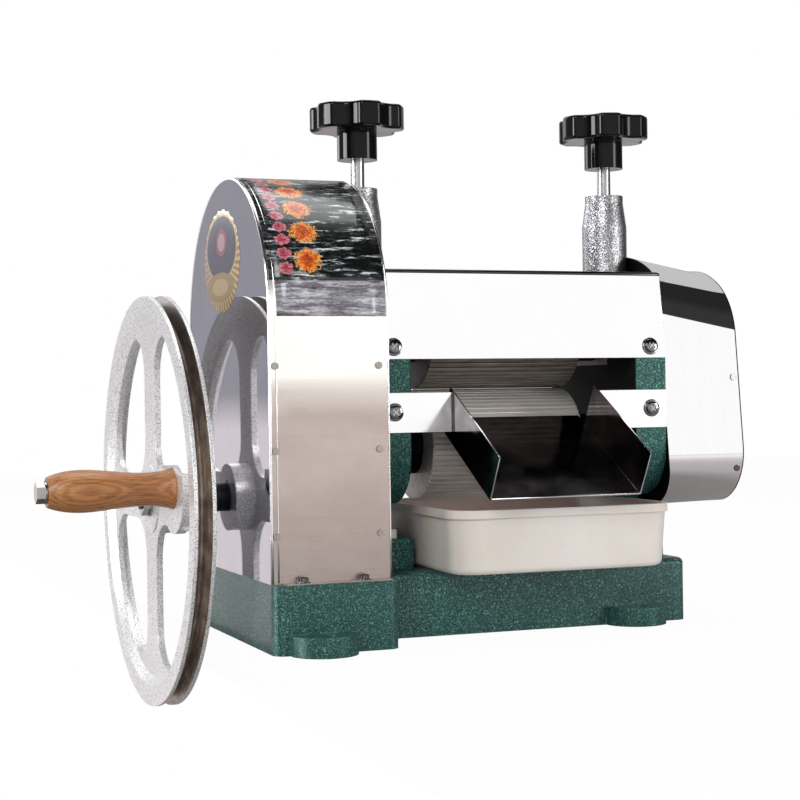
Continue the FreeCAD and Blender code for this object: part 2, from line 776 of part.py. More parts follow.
def ribbed_roller(name, axis_height):
    """A roller body with grooves along it, bored for its shaft."""
    body = doc.addObject("PartDesign::Body", new_name("roller"))
    plane = [f for f in body.Origin.OriginFeatures if f.Role == "YZ_Plane"][0]
    profile = body.newObject("Sketcher::SketchObject", new_name("roller_profile"))
    profile.AttachmentSupport = [(plane, "")]
    profile.MapMode = "FlatFace"
    middle = FreeCAD.Vector(0, 0, 0)
    up = FreeCAD.Vector(0, 0, 1)
    for i, radius in enumerate(("roller_radius", "roller_shaft_radius")):
        profile.addGeometry(Part.Circle(middle, up, size(radius)), False)
        profile.addConstraint(Sketcher.Constraint("Coincident", i, 3, -1, 1))
        profile.addConstraint(Sketcher.Constraint("Radius", i, size(radius)))
        profile.setExpression(f"Constraints[{2 * i + 1}]", formula(radius))
    pad = body.newObject("PartDesign::Pad", new_name("roller_pad"))
    pad.Profile = profile
    pad.setExpression("Length", formula("roller_length"))
    pad.Midplane = True
    doc.recompute()
    groove = body.newObject("Sketcher::SketchObject", new_name("groove_profile"))
    groove.AttachmentSupport = [(plane, "")]
    groove.MapMode = "FlatFace"
    half = size("rib_groove_width") / 2
    floor = size("roller_radius") - size("rib_groove_depth")
    mouth = size("roller_radius") + OVERRUN
    corners = [(-half / 3, floor), (half / 3, floor), (half, mouth), (-half, mouth)]
    for start, end in zip(corners, corners[1:] + corners[:1]):
        groove.addGeometry(Part.LineSegment(FreeCAD.Vector(*start, 0), FreeCAD.Vector(*end, 0)), False)
    for i in range(4):
        groove.addConstraint(Sketcher.Constraint("Coincident", i, 2, (i + 1) % 4, 1))
    for line in (0, 2):
        groove.addConstraint(Sketcher.Constraint("Symmetric", line, 1, line, 2, -2))
    ends = (("DistanceX", 1, "rib_groove_width / 6"), ("DistanceX", 2, "rib_groove_width / 2"),
            ("DistanceY", 1, "roller_radius - rib_groove_depth"), ("DistanceY", 2, over("roller_radius")))
    for way, line, text in ends:
        index = groove.addConstraint(Sketcher.Constraint(way, -1, 1, line, 1, number(text)))
        groove.setExpression(f"Constraints[{index}]", formula(text))
    pocket = body.newObject("PartDesign::Pocket", new_name("groove_cut"))
    pocket.Profile = groove
    pocket.Type = 1
    pocket.Midplane = True
    pattern = body.newObject("PartDesign::PolarPattern", new_name("rib_pattern"))
    pattern.Originals = [pocket]
    pattern.Axis = (profile, ["N_Axis"])
    pattern.Angle = 360
    pattern.Occurrences = int(size("rib_count"))
    body.Tip = pattern
    doc.recompute()
    body.setExpression("Placement.Base.z", formula(axis_height))
    return node(name, body)


def key_box(spot, radius, x):
    """The parallel key on top of a shaft; the same box cuts its seat and its keyway."""
    side = (f"{spot[0]} - key_width / 2", f"{spot[0]} + key_width / 2")
    height = (f"{spot[1]} + {radius} - key_seat", f"{spot[1]} + {radius} + key_stand")
    return box(x, side, height)


def ring(axis, outer, inner, spot, span):
    """A plain ring, bush or washer."""
    bore = rod(axis, inner, spot, past(span))
    return cut(rod(axis, outer, spot, span), bore)


def bearing_block(side):
    """A block that slides in the frame's slot and hangs on the pressure screw's head."""
    x = span_beside(side, FRAME_INSIDE, FRAME_OUTSIDE)
    spot = (f"{side} * frame_spacing / 2", "0")
    block = box(x, across("slot_half_width - slide_clearance"), (SLOT_FLOOR, BLOCK_TOP))
    bore = rod("x", "roller_bush_radius", UPPER, past(x))
    way_in = span_beside(side, under(FRAME_INSIDE), "(frame_spacing / 2)")
    tools = [bore]
    levels = (("screw_head_radius", (SCREW_HEAD_BOTTOM, f"{BLOCK_TOP} - block_cap")),
              ("screw_radius", past((f"{BLOCK_TOP} - block_cap", BLOCK_TOP))))
    for radius, height in levels:
        tools.append(rod("z", f"{radius} + seat_clearance", spot, height))
        tools.append(box(way_in, across(f"{radius} + seat_clearance"), height))
    return cut(block, *tools)


def roller_bushes(name, spot):
    bushes = [ring("x", "roller_bush_radius", "roller_shaft_radius + shaft_clearance", spot,
                   span_beside(side, FRAME_INSIDE, FRAME_OUTSIDE)) for side in (-1, 1)]
    return node(name, group(*bushes))


MAIN_KEY = (f"-({MAIN_LEFT} - key_far_gap)", f"-({MAIN_RIGHT} + key_near_gap)")
COUPLING_KEY = (f"{COUPLING_LEFT} + key_near_gap", f"{COUPLING_RIGHT} - key_far_gap")
SHAFT_RIGHT = f"({COUPLING_RIGHT} - shaft_short)"
LOWER_SHAFT_LEFT = f"({FRAME_OUTSIDE} + lower_shaft_stand)"


def end_bore(spot, end, way):
    """The threaded hole in a shaft's end."""
    span = (f"{end} - end_bolt_depth", over(end)) if way > 0 else (under(end), f"{end} + end_bolt_depth")
    return rod("x", "end_bolt_radius", spot, span)


def end_bolt(spot, face, shaft_end, way):
    """A flanged bolt in a shaft's end, seated on the gear's outer face."""
    steps = (("0", "end_flange_thickness"),
             ("end_flange_thickness", "end_flange_thickness + end_bolt_head_thickness"))
    places = [(f"{face} + {low}", f"{face} + {high}") if way > 0 else
              (f"{face} - ({high})", f"{face} - ({low})") for low, high in steps]
    bottom = f"{shaft_end} - {way} * (end_bolt_depth - bolt_tip_gap)"
    shank = (bottom, face) if way > 0 else (face, bottom)
    return fuse(rod("x", "end_flange_radius", spot, places[0]), rod("x", "end_bolt_radius", spot, shank),
                hexagon("x", f"{HEAD_FLATS} * end_bolt_radius", spot, places[1]))


def roller_shafts():
    upper_left = f"(-({MAIN_LEFT} - shaft_short))"
    upper = rod("x", "roller_shaft_radius", UPPER, (upper_left, SHAFT_RIGHT))
    upper = cut(upper, key_box(UPPER, "roller_shaft_radius", MAIN_KEY),
                key_box(UPPER, "roller_shaft_radius", COUPLING_KEY),
                end_bore(UPPER, upper_left, -1), end_bore(UPPER, SHAFT_RIGHT, 1))
    node("upper_roller_shaft", upper)
    lower = rod("x", "roller_shaft_radius", LOWER, (f"-{LOWER_SHAFT_LEFT}", SHAFT_RIGHT))
    lower = cut(lower, key_box(LOWER, "roller_shaft_radius", COUPLING_KEY), end_bore(LOWER, SHAFT_RIGHT, 1))
    node("lower_roller_shaft", lower)
    node("upper_shaft_keys", group(key_box(UPPER, "roller_shaft_radius", MAIN_KEY),
                                   key_box(UPPER, "roller_shaft_radius", COUPLING_KEY)))
    node("lower_shaft_key", key_box(LOWER, "roller_shaft_radius", COUPLING_KEY))
    node("upper_shaft_end_bolts", group(end_bolt(UPPER, f"(-{MAIN_LEFT})", upper_left, -1),
                                        end_bolt(UPPER, COUPLING_RIGHT, SHAFT_RIGHT, 1)))
    node("lower_shaft_end_bolt", end_bolt(LOWER, COUPLING_RIGHT, SHAFT_RIGHT, 1))


def roller_spacers():
    """Rings that keep the rollers and gears in place along their shafts."""
    inside = ("roller_length / 2", f"({FRAME_INSIDE} - seat_clearance)")
    outside = f"({FRAME_OUTSIDE} + seat_clearance)"
    upper = [span_beside(-1, *inside), span_beside(1, *inside),
             span_beside(-1, outside, MAIN_RIGHT), span_beside(1, outside, COUPLING_LEFT)]
    lower = [span_beside(-1, *inside), span_beside(1, *inside), span_beside(1, outside, COUPLING_LEFT)]
    rings = [ring("x", "spacer_radius", "roller_shaft_radius", UPPER, x) for x in upper]
    node("upper_roller_spacers", group(*rings))
    rings = [ring("x", "spacer_radius", "roller_shaft_radius", LOWER, x) for x in lower]
    rings.append(ring("x", "roller_shaft_radius + small_spacer_wall", "roller_shaft_radius", LOWER,
                      span_beside(-1, outside, f"({LOWER_SHAFT_LEFT} - shaft_short)")))
    node("lower_roller_spacers", group(*rings))


# ---- gears -----------------------------------------------------------------------------

DEDENDUM = 1.25
FLANK_POINTS = 7


def involute(angle):
    return math.tan(angle) - angle


def flank_points(module, teeth):
    """(radius, half angle) along one tooth flank, from its root to its tip."""
    pressure = math.radians(size("pressure_angle"))
    pitch = module * teeth / 2
    base = pitch * math.cos(pressure)
    start = max(base, pitch - DEDENDUM * module)
    tip = pitch + module
    middle = math.pi / (2 * teeth) - size("gear_backlash") / (2 * pitch) + involute(pressure)
    radii = [start + (tip - start) * (i / (FLANK_POINTS - 1)) ** 1.5 for i in range(FLANK_POINTS)]
    return [(radius, middle - involute(math.acos(min(1, base / radius)))) for radius in radii]


def toothed_blank(module, teeth, width, first_tooth):
    """A spur gear's blank in its own frame, with one tooth centred on the first_tooth angle."""
    flank = flank_points(module, teeth)
    root = module * teeth / 2 - DEDENDUM * module
    half_root = flank[0][1]
    step = 2 * math.pi / teeth
    edges = []
    for i in range(teeth):
        middle = first_tooth + i * step
        rising = [polar(radius, middle - half) for radius, half in flank]
        falling = [polar(radius, middle + half) for radius, half in reversed(flank)]
        if flank[0][0] > root + 1e-6:
            edges.append(Part.makeLine(polar(root, middle - half_root), rising[0]))
        for points in (rising, falling):
            curve = Part.BSplineCurve()
            curve.interpolate(points)
            edges.append(curve.toShape())
            if points is rising:
                edges.append(arc_between(flank[-1][0], middle - flank[-1][1], middle + flank[-1][1]))
        if flank[0][0] > root + 1e-6:
            edges.append(Part.makeLine(falling[-1], polar(root, middle + half_root)))
        edges.append(arc_between(root, middle + half_root, middle + step - half_root))
    return Part.Face(Part.Wire(edges)).extrude(FreeCAD.Vector(0, 0, width))


def gear_blank(module, teeth, spot, x, first_tooth):
    """A gear's toothed blank, stood in place with its axis along X."""
    blank = toothed_blank(size(module), int(size(teeth)), number(f"({x[1]}) - ({x[0]})"), first_tooth)
    piece = shaped(blank, "toothed")
    turn(piece, GEAR_TURN)
    place(piece, x[0], *spot)
    return piece


def direction(start, end):
    """The angle from +Y toward +Z of the line between two axes."""
    return math.atan2(number(end[1]) - number(start[1]), number(end[0]) - number(start[0]))


def facing_gap(angle, teeth):
    """The first tooth's angle that leaves a gap where a mating tooth comes in."""
    return angle + math.pi + math.pi / size(teeth)


def main_gear():
    x = (f"-{MAIN_LEFT}", f"-{MAIN_RIGHT}")
    through = past(x)
    first = facing_gap(direction(IDLER, UPPER), "main_teeth")
    blank = gear_blank("main_module", "main_teeth", UPPER, x, first)
    keyway = key_box(UPPER, "roller_shaft_radius", through)
    return node("main_gear", cut(blank, rod("x", "roller_shaft_radius", UPPER, through), keyway))


def coupling_gear(name, spot, first):
    x = (COUPLING_LEFT, COUPLING_RIGHT)
    through = past(x)
    blank = gear_blank("coupling_module", "coupling_teeth", spot, x, first)
    keyway = key_box(spot, "roller_shaft_radius", through)
    return node(name, cut(blank, rod("x", "roller_shaft_radius", spot, through), keyway))


IDLER_START = f"({MAIN_RIGHT} - pinion_near_overhang)"
PINION_LEFT = f"({MAIN_LEFT} + pinion_far_overhang)"
IDLER_END = f"({IDLER_LEFT} + seat_clearance)"


def idler_train():
    """The fixed axle, and the pinion and gear that turn on it together."""
    bush_radius = "idler_axle_radius + idler_bush_wall"
    whole = (f"-{IDLER_LEFT}", f"-{IDLER_START}")
    through = past(whole)
    teeth = gear_blank("main_module", "main_pinion_teeth", IDLER, (f"-{PINION_LEFT}", f"-{IDLER_START}"),
                       direction(IDLER, UPPER))
    boss = rod("x", "idler_boss_radius", IDLER, (f"-{IDLER_LEFT}", over(f"-{PINION_LEFT}")))
    node("idler_pinion", cut(fuse(teeth, boss), rod("x", bush_radius, IDLER, through)))
    gear_x = (f"-{IDLER_LEFT}", f"-{IDLER_RIGHT}")
    gear = gear_blank("drive_module", "idler_teeth", IDLER, gear_x, direction(IDLER, WHEEL))
    node("idler_gear", cut(gear, rod("x", "idler_boss_radius", IDLER, through)))
    node("idler_bush", ring("x", bush_radius, "idler_axle_radius + shaft_clearance", IDLER, whole))
    axle = (f"-({IDLER_LEFT} + axle_end)", f"-({FRAME_INSIDE} + axle_seat)")
    node("idler_axle", rod("x", "idler_axle_radius", IDLER, axle))
    spacer = (f"-({IDLER_START} - seat_clearance)", f"-{FRAME_OUTSIDE}")
    node("idler_spacer", ring("x", "idler_axle_radius + idler_spacer_wall", "idler_axle_radius", IDLER,
                              spacer))
    washer = (f"-({IDLER_END} + retainer_thickness)", f"-{IDLER_END}")
    clip = (f"-({IDLER_END} + 2 * retainer_thickness)", washer[0])
    node("idler_retainer", fuse(ring("x", "idler_boss_radius", "idler_axle_radius", IDLER, washer),
                                ring("x", "idler_axle_radius + clip_wall", "idler_axle_radius", IDLER, clip)))


# ---- handwheel shaft -------------------------------------------------------------------

BRACKET_FOOT_TOP = "(base_height + bracket_foot_thickness)"
WHEEL_KEY = (f"-({WEB_BACK} + key_far_gap)", "-(hub_back + key_near_gap)")
WHEEL_KEY_WAY = (WHEEL_KEY[0], over("-hub_back"))
PINION_SPAN = (f"-({IDLER_LEFT} + pinion_far_overhang)", f"-({IDLER_RIGHT} - pinion_far_overhang)")
PINION_KEY = (f"-({IDLER_LEFT} - key_near_gap)", f"-({IDLER_RIGHT} + key_near_gap)")
SHAFT_END = f"({HUB_FRONT} - shaft_short)"


def bracket_bolt_spots():
    middle = f"-({ARM_INNER_LEFT} + {ARM_OUTER_RIGHT}) / 2"
    return [(middle, f"(wheel_axis_depth {way} bracket_bolt_place)") for way in "-+"]


def drive_bracket():
    """A casting with two arms that carries the handwheel's shaft."""
    foot_y = ("wheel_axis_depth - bracket_foot_half_depth", "wheel_axis_depth + bracket_foot_half_depth")
    foot = box((f"-{ARM_OUTER_LEFT}", f"-{ARM_INNER_RIGHT}"), foot_y, ("base_height", BRACKET_FOOT_TOP))
    arm_y = ("wheel_axis_depth - bracket_radius", "wheel_axis_depth + bracket_radius")
    pieces = [foot]
    bushes = []
    bush_radius = "wheel_shaft_radius + wheel_bush_wall"
    for near, far in ((ARM_INNER_RIGHT, ARM_INNER_LEFT), (ARM_OUTER_RIGHT, ARM_OUTER_LEFT)):
        x = (f"-{far}", f"-{near}")
        pieces.append(box(x, arm_y, (under(BRACKET_FOOT_TOP), "wheel_axis_height")))
        pieces.append(rod("x", "bracket_radius", WHEEL, x))
        bushes.append(ring("x", bush_radius, "wheel_shaft_radius + shaft_clearance", WHEEL, x))
    bore = rod("x", bush_radius, WHEEL, past((f"-{ARM_OUTER_LEFT}", f"-{ARM_INNER_RIGHT}")))
    holes = [rod("z", "bracket_bolt_radius", spot, past(("base_height", BRACKET_FOOT_TOP)))
             for spot in bracket_bolt_spots()]
    node("drive_bracket", cut(fuse(*pieces), bore, *holes))
    node("drive_bushes", group(*bushes))
    bolts = []
    for spot in bracket_bolt_spots():
        shank = rod("z", "bracket_bolt_radius", spot, ("base_height - frame_bolt_depth", BRACKET_FOOT_TOP))
        head = hexagon("z", f"{HEAD_FLATS} * bracket_bolt_radius", spot,
                       (BRACKET_FOOT_TOP, f"{BRACKET_FOOT_TOP} + bracket_bolt_head_thickness"))
        bolts.append(fuse(shank, head))
    node("bracket_bolts", group(*bolts))


def handwheel_shaft():
    body = rod("x", "wheel_shaft_radius", WHEEL, (f"-{SHAFT_END}", f"-({ARM_INNER_RIGHT} + shaft_short)"))
    stud_end = f"({HUB_FRONT} + wheel_washer_thickness + wheel_nut_thickness + thread_past_nut)"
    stud = rod("x", "stud_radius", WHEEL, (f"-{stud_end}", over(f"-{SHAFT_END}")))
    keys = [key_box(WHEEL, "wheel_shaft_radius", x) for x in (WHEEL_KEY, PINION_KEY)]
    node("handwheel_shaft", cut(fuse(body, stud), *keys))
    node("handwheel_keys", group(*[key_box(WHEEL, "wheel_shaft_radius", x) for x in (WHEEL_KEY, PINION_KEY)]))
    through = past(PINION_SPAN)
    blank = gear_blank("drive_module", "drive_pinion_teeth", WHEEL, PINION_SPAN,
                       facing_gap(direction(IDLER, WHEEL), "drive_pinion_teeth"))
    node("drive_pinion", cut(blank, rod("x", "wheel_shaft_radius", WHEEL, through),
                             key_box(WHEEL, "wheel_shaft_radius", through)))
    near = f"{ARM_OUTER_LEFT} + seat_clearance"
    collar = (f"-({near} + collar_width)", f"-({near})")
    node("shaft_collar", ring("x", "collar_radius", "wheel_shaft_radius", WHEEL, collar))
    washer = (f"-({HUB_FRONT} + wheel_washer_thickness)", f"-{HUB_FRONT}")
    node("wheel_washer", ring("x", "wheel_washer_radius", "stud_radius", WHEEL, washer))
    nut = (f"{washer[0]} - wheel_nut_thickness", washer[0])
    head = hexagon("x", "wheel_nut_flats", WHEEL, nut)
    hole = rod("x", "stud_radius", WHEEL, past(nut))
    node("wheel_nut", cut(head, hole))


# ---- handwheel and handle --------------------------------------------------------------

def rim_groove():
    """The V-shaped groove round the rim, as a ring to cut away."""
    left = "-wheel_front + rim_flange"
    right = "-(wheel_front - rim_width) - rim_flange"
    floor = "wheel_radius - groove_depth"
    middle = "-(wheel_front - rim_width / 2)"
    floor_x = (f"{middle} - groove_floor_half_width", f"{middle} + groove_floor_half_width")
    disc = rod("x", over("wheel_radius"), WHEEL, (left, right))
    core = fuse(cone("x", ("wheel_radius", floor), WHEEL, (left, floor_x[0])),
                rod("x", floor, WHEEL, floor_x),
                cone("x", (floor, "wheel_radius"), WHEEL, (floor_x[1], right)))
    return cut(disc, core)


def wheel_window(depth_way, height_way, x):
    """One opening in the web, between two spokes, with rounded corners."""
    near = "spoke_width / 2"
    spans = []
    for centre, way in zip(WHEEL, (depth_way, height_way)):
        low, high = (f"{centre} + {near}", f"{centre} + wheel_radius")
        spans.append((low, high) if way > 0 else (f"{centre} - wheel_radius", f"{centre} - {near}"))
    corner = common(rod("x", WEB_RING, WHEEL, x), box(x, *spans))
    return round_edges(corner, size("window_corner_radius"), runs_along("x"))


def handwheel():
    """A spoked V-pulley; the forward spoke ends free of the rim and carries the handle's pad."""
    rim_x = ("-wheel_front", "-(wheel_front - rim_width)")
    web_x = (f"-{WEB_FRONT}", f"-{WEB_BACK}")
    through = past((f"-{PAD_FRONT}", f"-{WEB_BACK}"))
    rim = cut(ring("x", "wheel_radius", RIM_INSIDE, WHEEL, rim_x), rim_groove())
    # The rim slopes in to the web, so that the front is dished.
    dish_x = (rim_x[0], web_x[0])
    dish = cut(rod("x", over(RIM_INSIDE), WHEEL, dish_x), cone("x", (RIM_INSIDE, WEB_RING), WHEEL, dish_x))
    openings = [wheel_window(depth_way, height_way, through)
                for depth_way in (-1, 1) for height_way in (-1, 1)]
    gap_ring = ring("x", WEB_RING, f"{WEB_RING} - crank_gap_width", WHEEL, through)
    gap_y = ("wheel_axis_depth - wheel_radius", "wheel_axis_depth")
    gap_z = ("wheel_axis_height - crank_gap_half_height", "wheel_axis_height + crank_gap_half_height")
    openings.append(common(gap_ring, box(past(through), gap_y, gap_z)))
    web = cut(rod("x", over(RIM_INSIDE), WHEEL, web_x), *openings)
    pad_x = (f"-{PAD_FRONT}", f"-{WEB_BACK}")
    pad_cut = box(through, past((f"{CRANK_DEPTH} - pad_radius", f"{CRANK_DEPTH} + pad_radius")),
                  ("wheel_axis_height + pad_top", over(f"{CRANK_HEIGHT} + pad_radius")))
    pad = cut(rod("x", "pad_radius", CRANK, pad_x), pad_cut)
    hub = rod("x", "hub_radius", WHEEL, (f"-{HUB_FRONT}", "-hub_back"))
    whole = past((f"-{PAD_FRONT}", "-hub_back"))
    bores = [rod("x", "wheel_shaft_radius", WHEEL, whole), rod("x", "handle_bolt_radius", CRANK, through),
             key_box(WHEEL, "wheel_shaft_radius", WHEEL_KEY_WAY)]
    return node("handwheel", cut(fuse(rim, dish, web, pad, hub), *bores))


HANDLE_WASHER = f"({HANDLE_OUTER} + seat_clearance)"
HANDLE_HEAD = f"({HANDLE_WASHER} + handle_washer_thickness)"
HALF_TURN = 180


def handle_grip():
    """A turned grip: flared at the pad, waisted, then full in the hand."""
    length = size("handle_length")
    profile = [(0, "handle_flare_radius"), (0.16, "handle_waist_radius"), (0.58, "handle_belly_radius"),
               (1, "handle_end_radius")]
    points = [FreeCAD.Vector(share * length, size(radius), 0) for share, radius in profile]
    curve = Part.BSplineCurve()
    curve.interpolate(points)
    bore = size("handle_bolt_radius") + size("bolt_clearance")
    inner = [FreeCAD.Vector(length, bore, 0), FreeCAD.Vector(0, bore, 0)]
    edges = [curve.toShape(), Part.makeLine(points[-1], inner[0]), Part.makeLine(*inner),
             Part.makeLine(inner[1], points[0])]
    solid = Part.Face(Part.Wire(edges)).revolve(FreeCAD.Vector(0, 0, 0), FreeCAD.Vector(1, 0, 0), 360)
    grip = shaped(solid, "grip")
    turn(grip, FreeCAD.Rotation(FreeCAD.Vector(0, 0, 1), HALF_TURN))
    place(grip, f"-{HANDLE_INNER}", *CRANK)
    return node("handle_grip", grip)


def handle_fasteners():
    washer = rod("x", "handle_washer_radius", CRANK, (f"-{HANDLE_HEAD}", f"-{HANDLE_WASHER}"))
    head_x = (f"-{HANDLE_HEAD} - handle_head_thickness", f"-{HANDLE_HEAD}")
    head = hexagon("x", "handle_head_flats", CRANK, head_x)
    nut_x = (f"-{WEB_BACK}", f"-{WEB_BACK} + handle_head_thickness")
    shank = rod("x", "handle_bolt_radius", CRANK, (f"-{HANDLE_WASHER}", f"{nut_x[1]} + thread_past_nut"))
    node("handle_bolt", fuse(washer, head, shank))
    nut = hexagon("x", "handle_head_flats", CRANK, nut_x)
    node("handle_nut", cut(nut, rod("x", "handle_bolt_radius", CRANK, past(nut_x))))


# ---- gear cover ------------------------------------------------------------------------

ARCH = ("0", ARCH_HEIGHT)
COVER_LEFT = ("-base_left", "-(base_left - sheet)")
COVER_RIGHT = ("-(cover_right + cover_plate_recess + sheet)", "-(cover_right + cover_plate_recess)")


def arch(x, half, bottom):
    return fuse(box(x, across(half), (bottom, ARCH_HEIGHT)), rod("x", half, ARCH, x))


def cover_screw_spots():
    middle = "(cover_half_depth + cover_flange / 2)"
    insets = ("cover_screw_inset", "(base_left - cover_right - cover_screw_inset)")
    return [(f"-(base_left - {inset})", f"{way}{middle}") for inset in insets for way in ("-", "")]


# How far up the band's flat sides its rivets stand, and their angles round the arch.
RIVET_SHARES = (0.18, 0.5, 0.82)
RIVET_ANGLES = (36, 72, 108, 144)


def cover_rivet_places():
    """(centre, angle, reach) of each rivet round the band, in the plane across X."""
    flat = [(("0", f"base_height + {share} * ({ARCH_HEIGHT} - base_height)"), angle)
            for share in RIVET_SHARES for angle in (0, 180)]
    return flat + [(ARCH, angle) for angle in RIVET_ANGLES]


def rivet(centre, angle, face, x):
    """A rivet through a cover and the flange behind it."""
    shank = radial_rod("rivet_radius", centre, angle, (f"{face} - 2 * sheet - rivet_proud", face), x)
    head = radial_rod("rivet_head_radius", centre, angle, (face, f"{face} + rivet_proud"), x)
    return fuse(shank, head)


def cover_plate(x, rim_x, way_out):
    """One end plate of the gear cover, with a rim that lies under the band."""
    plate = arch(x, "cover_half_depth - sheet", "base_height")
    rim = cut(arch(rim_x, "cover_half_depth - sheet", "base_height"),
              arch(past(rim_x), "cover_half_depth - 2 * sheet", under("base_height")))
    return cut(fuse(plate, rim), way_out)


def cover_rivet_holes(x):
    """The holes that a row of rivets needs in the band and in the rim behind it."""
    reach = ("cover_half_depth - cover_rivet_inset", over("cover_half_depth"))
    return [radial_rod("rivet_radius", centre, angle, reach, x) for centre, angle in cover_rivet_places()]


def gear_cover():
    rivet_lines = (f"{COVER_LEFT[0]} + cover_rivet_inset", f"{COVER_RIGHT[1]} - cover_rivet_inset")
    rim = "2 * cover_rivet_inset"
    band_x = (COVER_LEFT[0], "-cover_right")
    shell = cut(arch(band_x, "cover_half_depth", "base_height"),
                arch(past(band_x), "cover_half_depth - sheet", under("base_height")))
    flange_x = (f"{band_x[0]} + base_corner_radius", f"{band_x[1]} - cover_flange_short")
    flange_z = ("base_height", "base_height + sheet")
    flanges = [box(flange_x, y, flange_z)
               for y in (("-(cover_half_depth + cover_flange)", "-(cover_half_depth - sheet / 2)"),
                         ("cover_half_depth - sheet / 2", "cover_half_depth + cover_flange"))]
    holes = [hole for x in rivet_lines for hole in cover_rivet_holes(x)]
    screw_holes = [rod("z", "small_screw_radius", spot, past(flange_z)) for spot in cover_screw_spots()]
    node("gear_cover_band", cut(fuse(shell, *flanges), *(holes + screw_holes)))
    opening = rod("x", "shaft_opening_radius", WHEEL, past(COVER_LEFT))
    left = cover_plate(COVER_LEFT, (COVER_LEFT[0], f"{COVER_LEFT[0]} + {rim}"), opening)
    node("gear_cover_side_plate", cut(left, *cover_rivet_holes(rivet_lines[0])))
    window = box(past(COVER_RIGHT), across("cover_window_half_depth"),
                 (under("base_height"), f"{UPPER_AXIS} + cover_window_above_axis"))
    right = cover_plate(COVER_RIGHT, (f"{COVER_RIGHT[1]} - {rim}", COVER_RIGHT[1]), window)
    node("gear_cover_back_plate", cut(right, *cover_rivet_holes(rivet_lines[1])))
    node("gear_cover_rivets", group(*[rivet(centre, angle, "cover_half_depth", x)
                                      for x in rivet_lines for centre, angle in cover_rivet_places()]))
    screws = [pan_screw("z", spot, "base_height + sheet", "cover_screw_head_radius")
              for spot in cover_screw_spots()]
    node("gear_cover_screws", group(*screws))


def pan_screw(axis, spot, face, head_radius="small_head_radius"):
    """A low-headed screw whose head sits on a face and whose shank goes into the metal behind."""
    shank = (f"({face}) - frame_bolt_depth", face)
    head = (face, f"({face}) + small_head_thickness")
    return fuse(rod(axis, "small_screw_radius", spot, shank), rod(axis, head_radius, spot, head))


# ---- hood, chute and right cover -------------------------------------------------------

def hood_half_depth(height, outset):
    """The hood's half depth at a height; it follows the frames' tapering heads."""
    return f"(frame_half_depth + {outset} - ({height} - frame_shoulder) * {HOOD_LEAN})"


def hood_screw_rod(side, way, radius, reach):
    """A cylinder square to the hood's leaning face, from a reach measured from that face."""
    angle = f"(atan({HOOD_LEAN}) / 1 deg)"
    half = hood_half_depth(HOOD_SCREW_HEIGHT, "seat_clearance + sheet")
    centre = (f"{way} * {half}", HOOD_SCREW_HEIGHT)
    turned = angle if way > 0 else f"(180 - {angle})"
    return radial_rod(radius, centre, turned, reach, f"{side} * frame_spacing / 2")


def hood_block(x, outset, z):
    low = across(hood_half_depth(z[0], outset))
    high = across(hood_half_depth(z[1], outset))
    return tapered(z, (x, low), (x, high))


def top_hood():
    """A folded sheet over the frames' heads, resting on the towers' flanges."""
    x = ("-(cover_right - cover_joint_gap)", FRAME_OUTSIDE)
    outer = hood_block(x, "seat_clearance + sheet", ("frame_shoulder", HOOD_TOP))
    inner = hood_block(past(x), "seat_clearance", (under("frame_shoulder"), FLANGE_TOP))
    roof = past((FLANGE_TOP, HOOD_TOP))
    holes = [rod("z", "tower_radius + seat_clearance", (f"{side} * frame_spacing / 2", "0"), roof)
             for side in (-1, 1)]
    holes += [hood_screw_rod(side, way, "small_screw_radius", past(("-2 * sheet", "0")))
              for side in (-1, 1) for way in (-1, 1)]
    # The upper roller's crown rises through this opening when the roller is lifted.
    opening_x = across("roller_length / 2 + hood_opening_margin")
    holes.append(box(opening_x, across("hood_opening_half_depth"), roof))
    return node("top_hood", cut(outer, inner, *holes))


def strip_screw_rod(side, radius, reach):
    """A cylinder into the frame's front face, from a reach measured outward from the chute's strip."""
    face = "frame_half_depth + sheet"
    return rod("y", radius, (f"{side} * frame_spacing / 2", "strip_screw_height"),
               (f"-({face} + {reach[1]})", f"-({face} + {reach[0]})"))


def panel_screws():
    """The screws that hold the hood and the chute to the frames."""
    screws = []
    for side in (-1, 1):
        shank = ("-(frame_bolt_depth)", "0")
        head = ("0", "small_head_thickness")
        screws.append(fuse(strip_screw_rod(side, "small_screw_radius", shank),
                           strip_screw_rod(side, "small_head_radius", head)))
        for way in (-1, 1):
            screws.append(fuse(hood_screw_rod(side, way, "small_screw_radius", shank),
                               hood_screw_rod(side, way, "small_head_radius", head)))
    return node("panel_screws", group(*screws))


def sloped_box(x, along, above):
    """A box laid along the chute's slope, by its reach up the slope and its height square to it."""
    piece = doc.addObject("Part::Box", new_name("sloped"))
    for side, (low, high) in (("Length", x), ("Width", along), ("Height", above)):
        piece.setExpression(side, formula(f"({high}) - ({low})"))
    turn(piece, FreeCAD.Rotation(FreeCAD.Vector(1, 0, 0), 30))
    piece.setExpression("Placement.Rotation.Angle", formula("chute_slope * 1 deg"))
    run = "cos(chute_slope * 1 deg)"
    rise = "sin(chute_slope * 1 deg)"
    y = f"-chute_lip_depth + ({along[0]}) * {run} - ({above[0]}) * {rise}"
    z = f"chute_lip_height + ({along[0]}) * {rise} + ({above[0]}) * {run}"
    place(piece, x[0], y, z)
    return piece


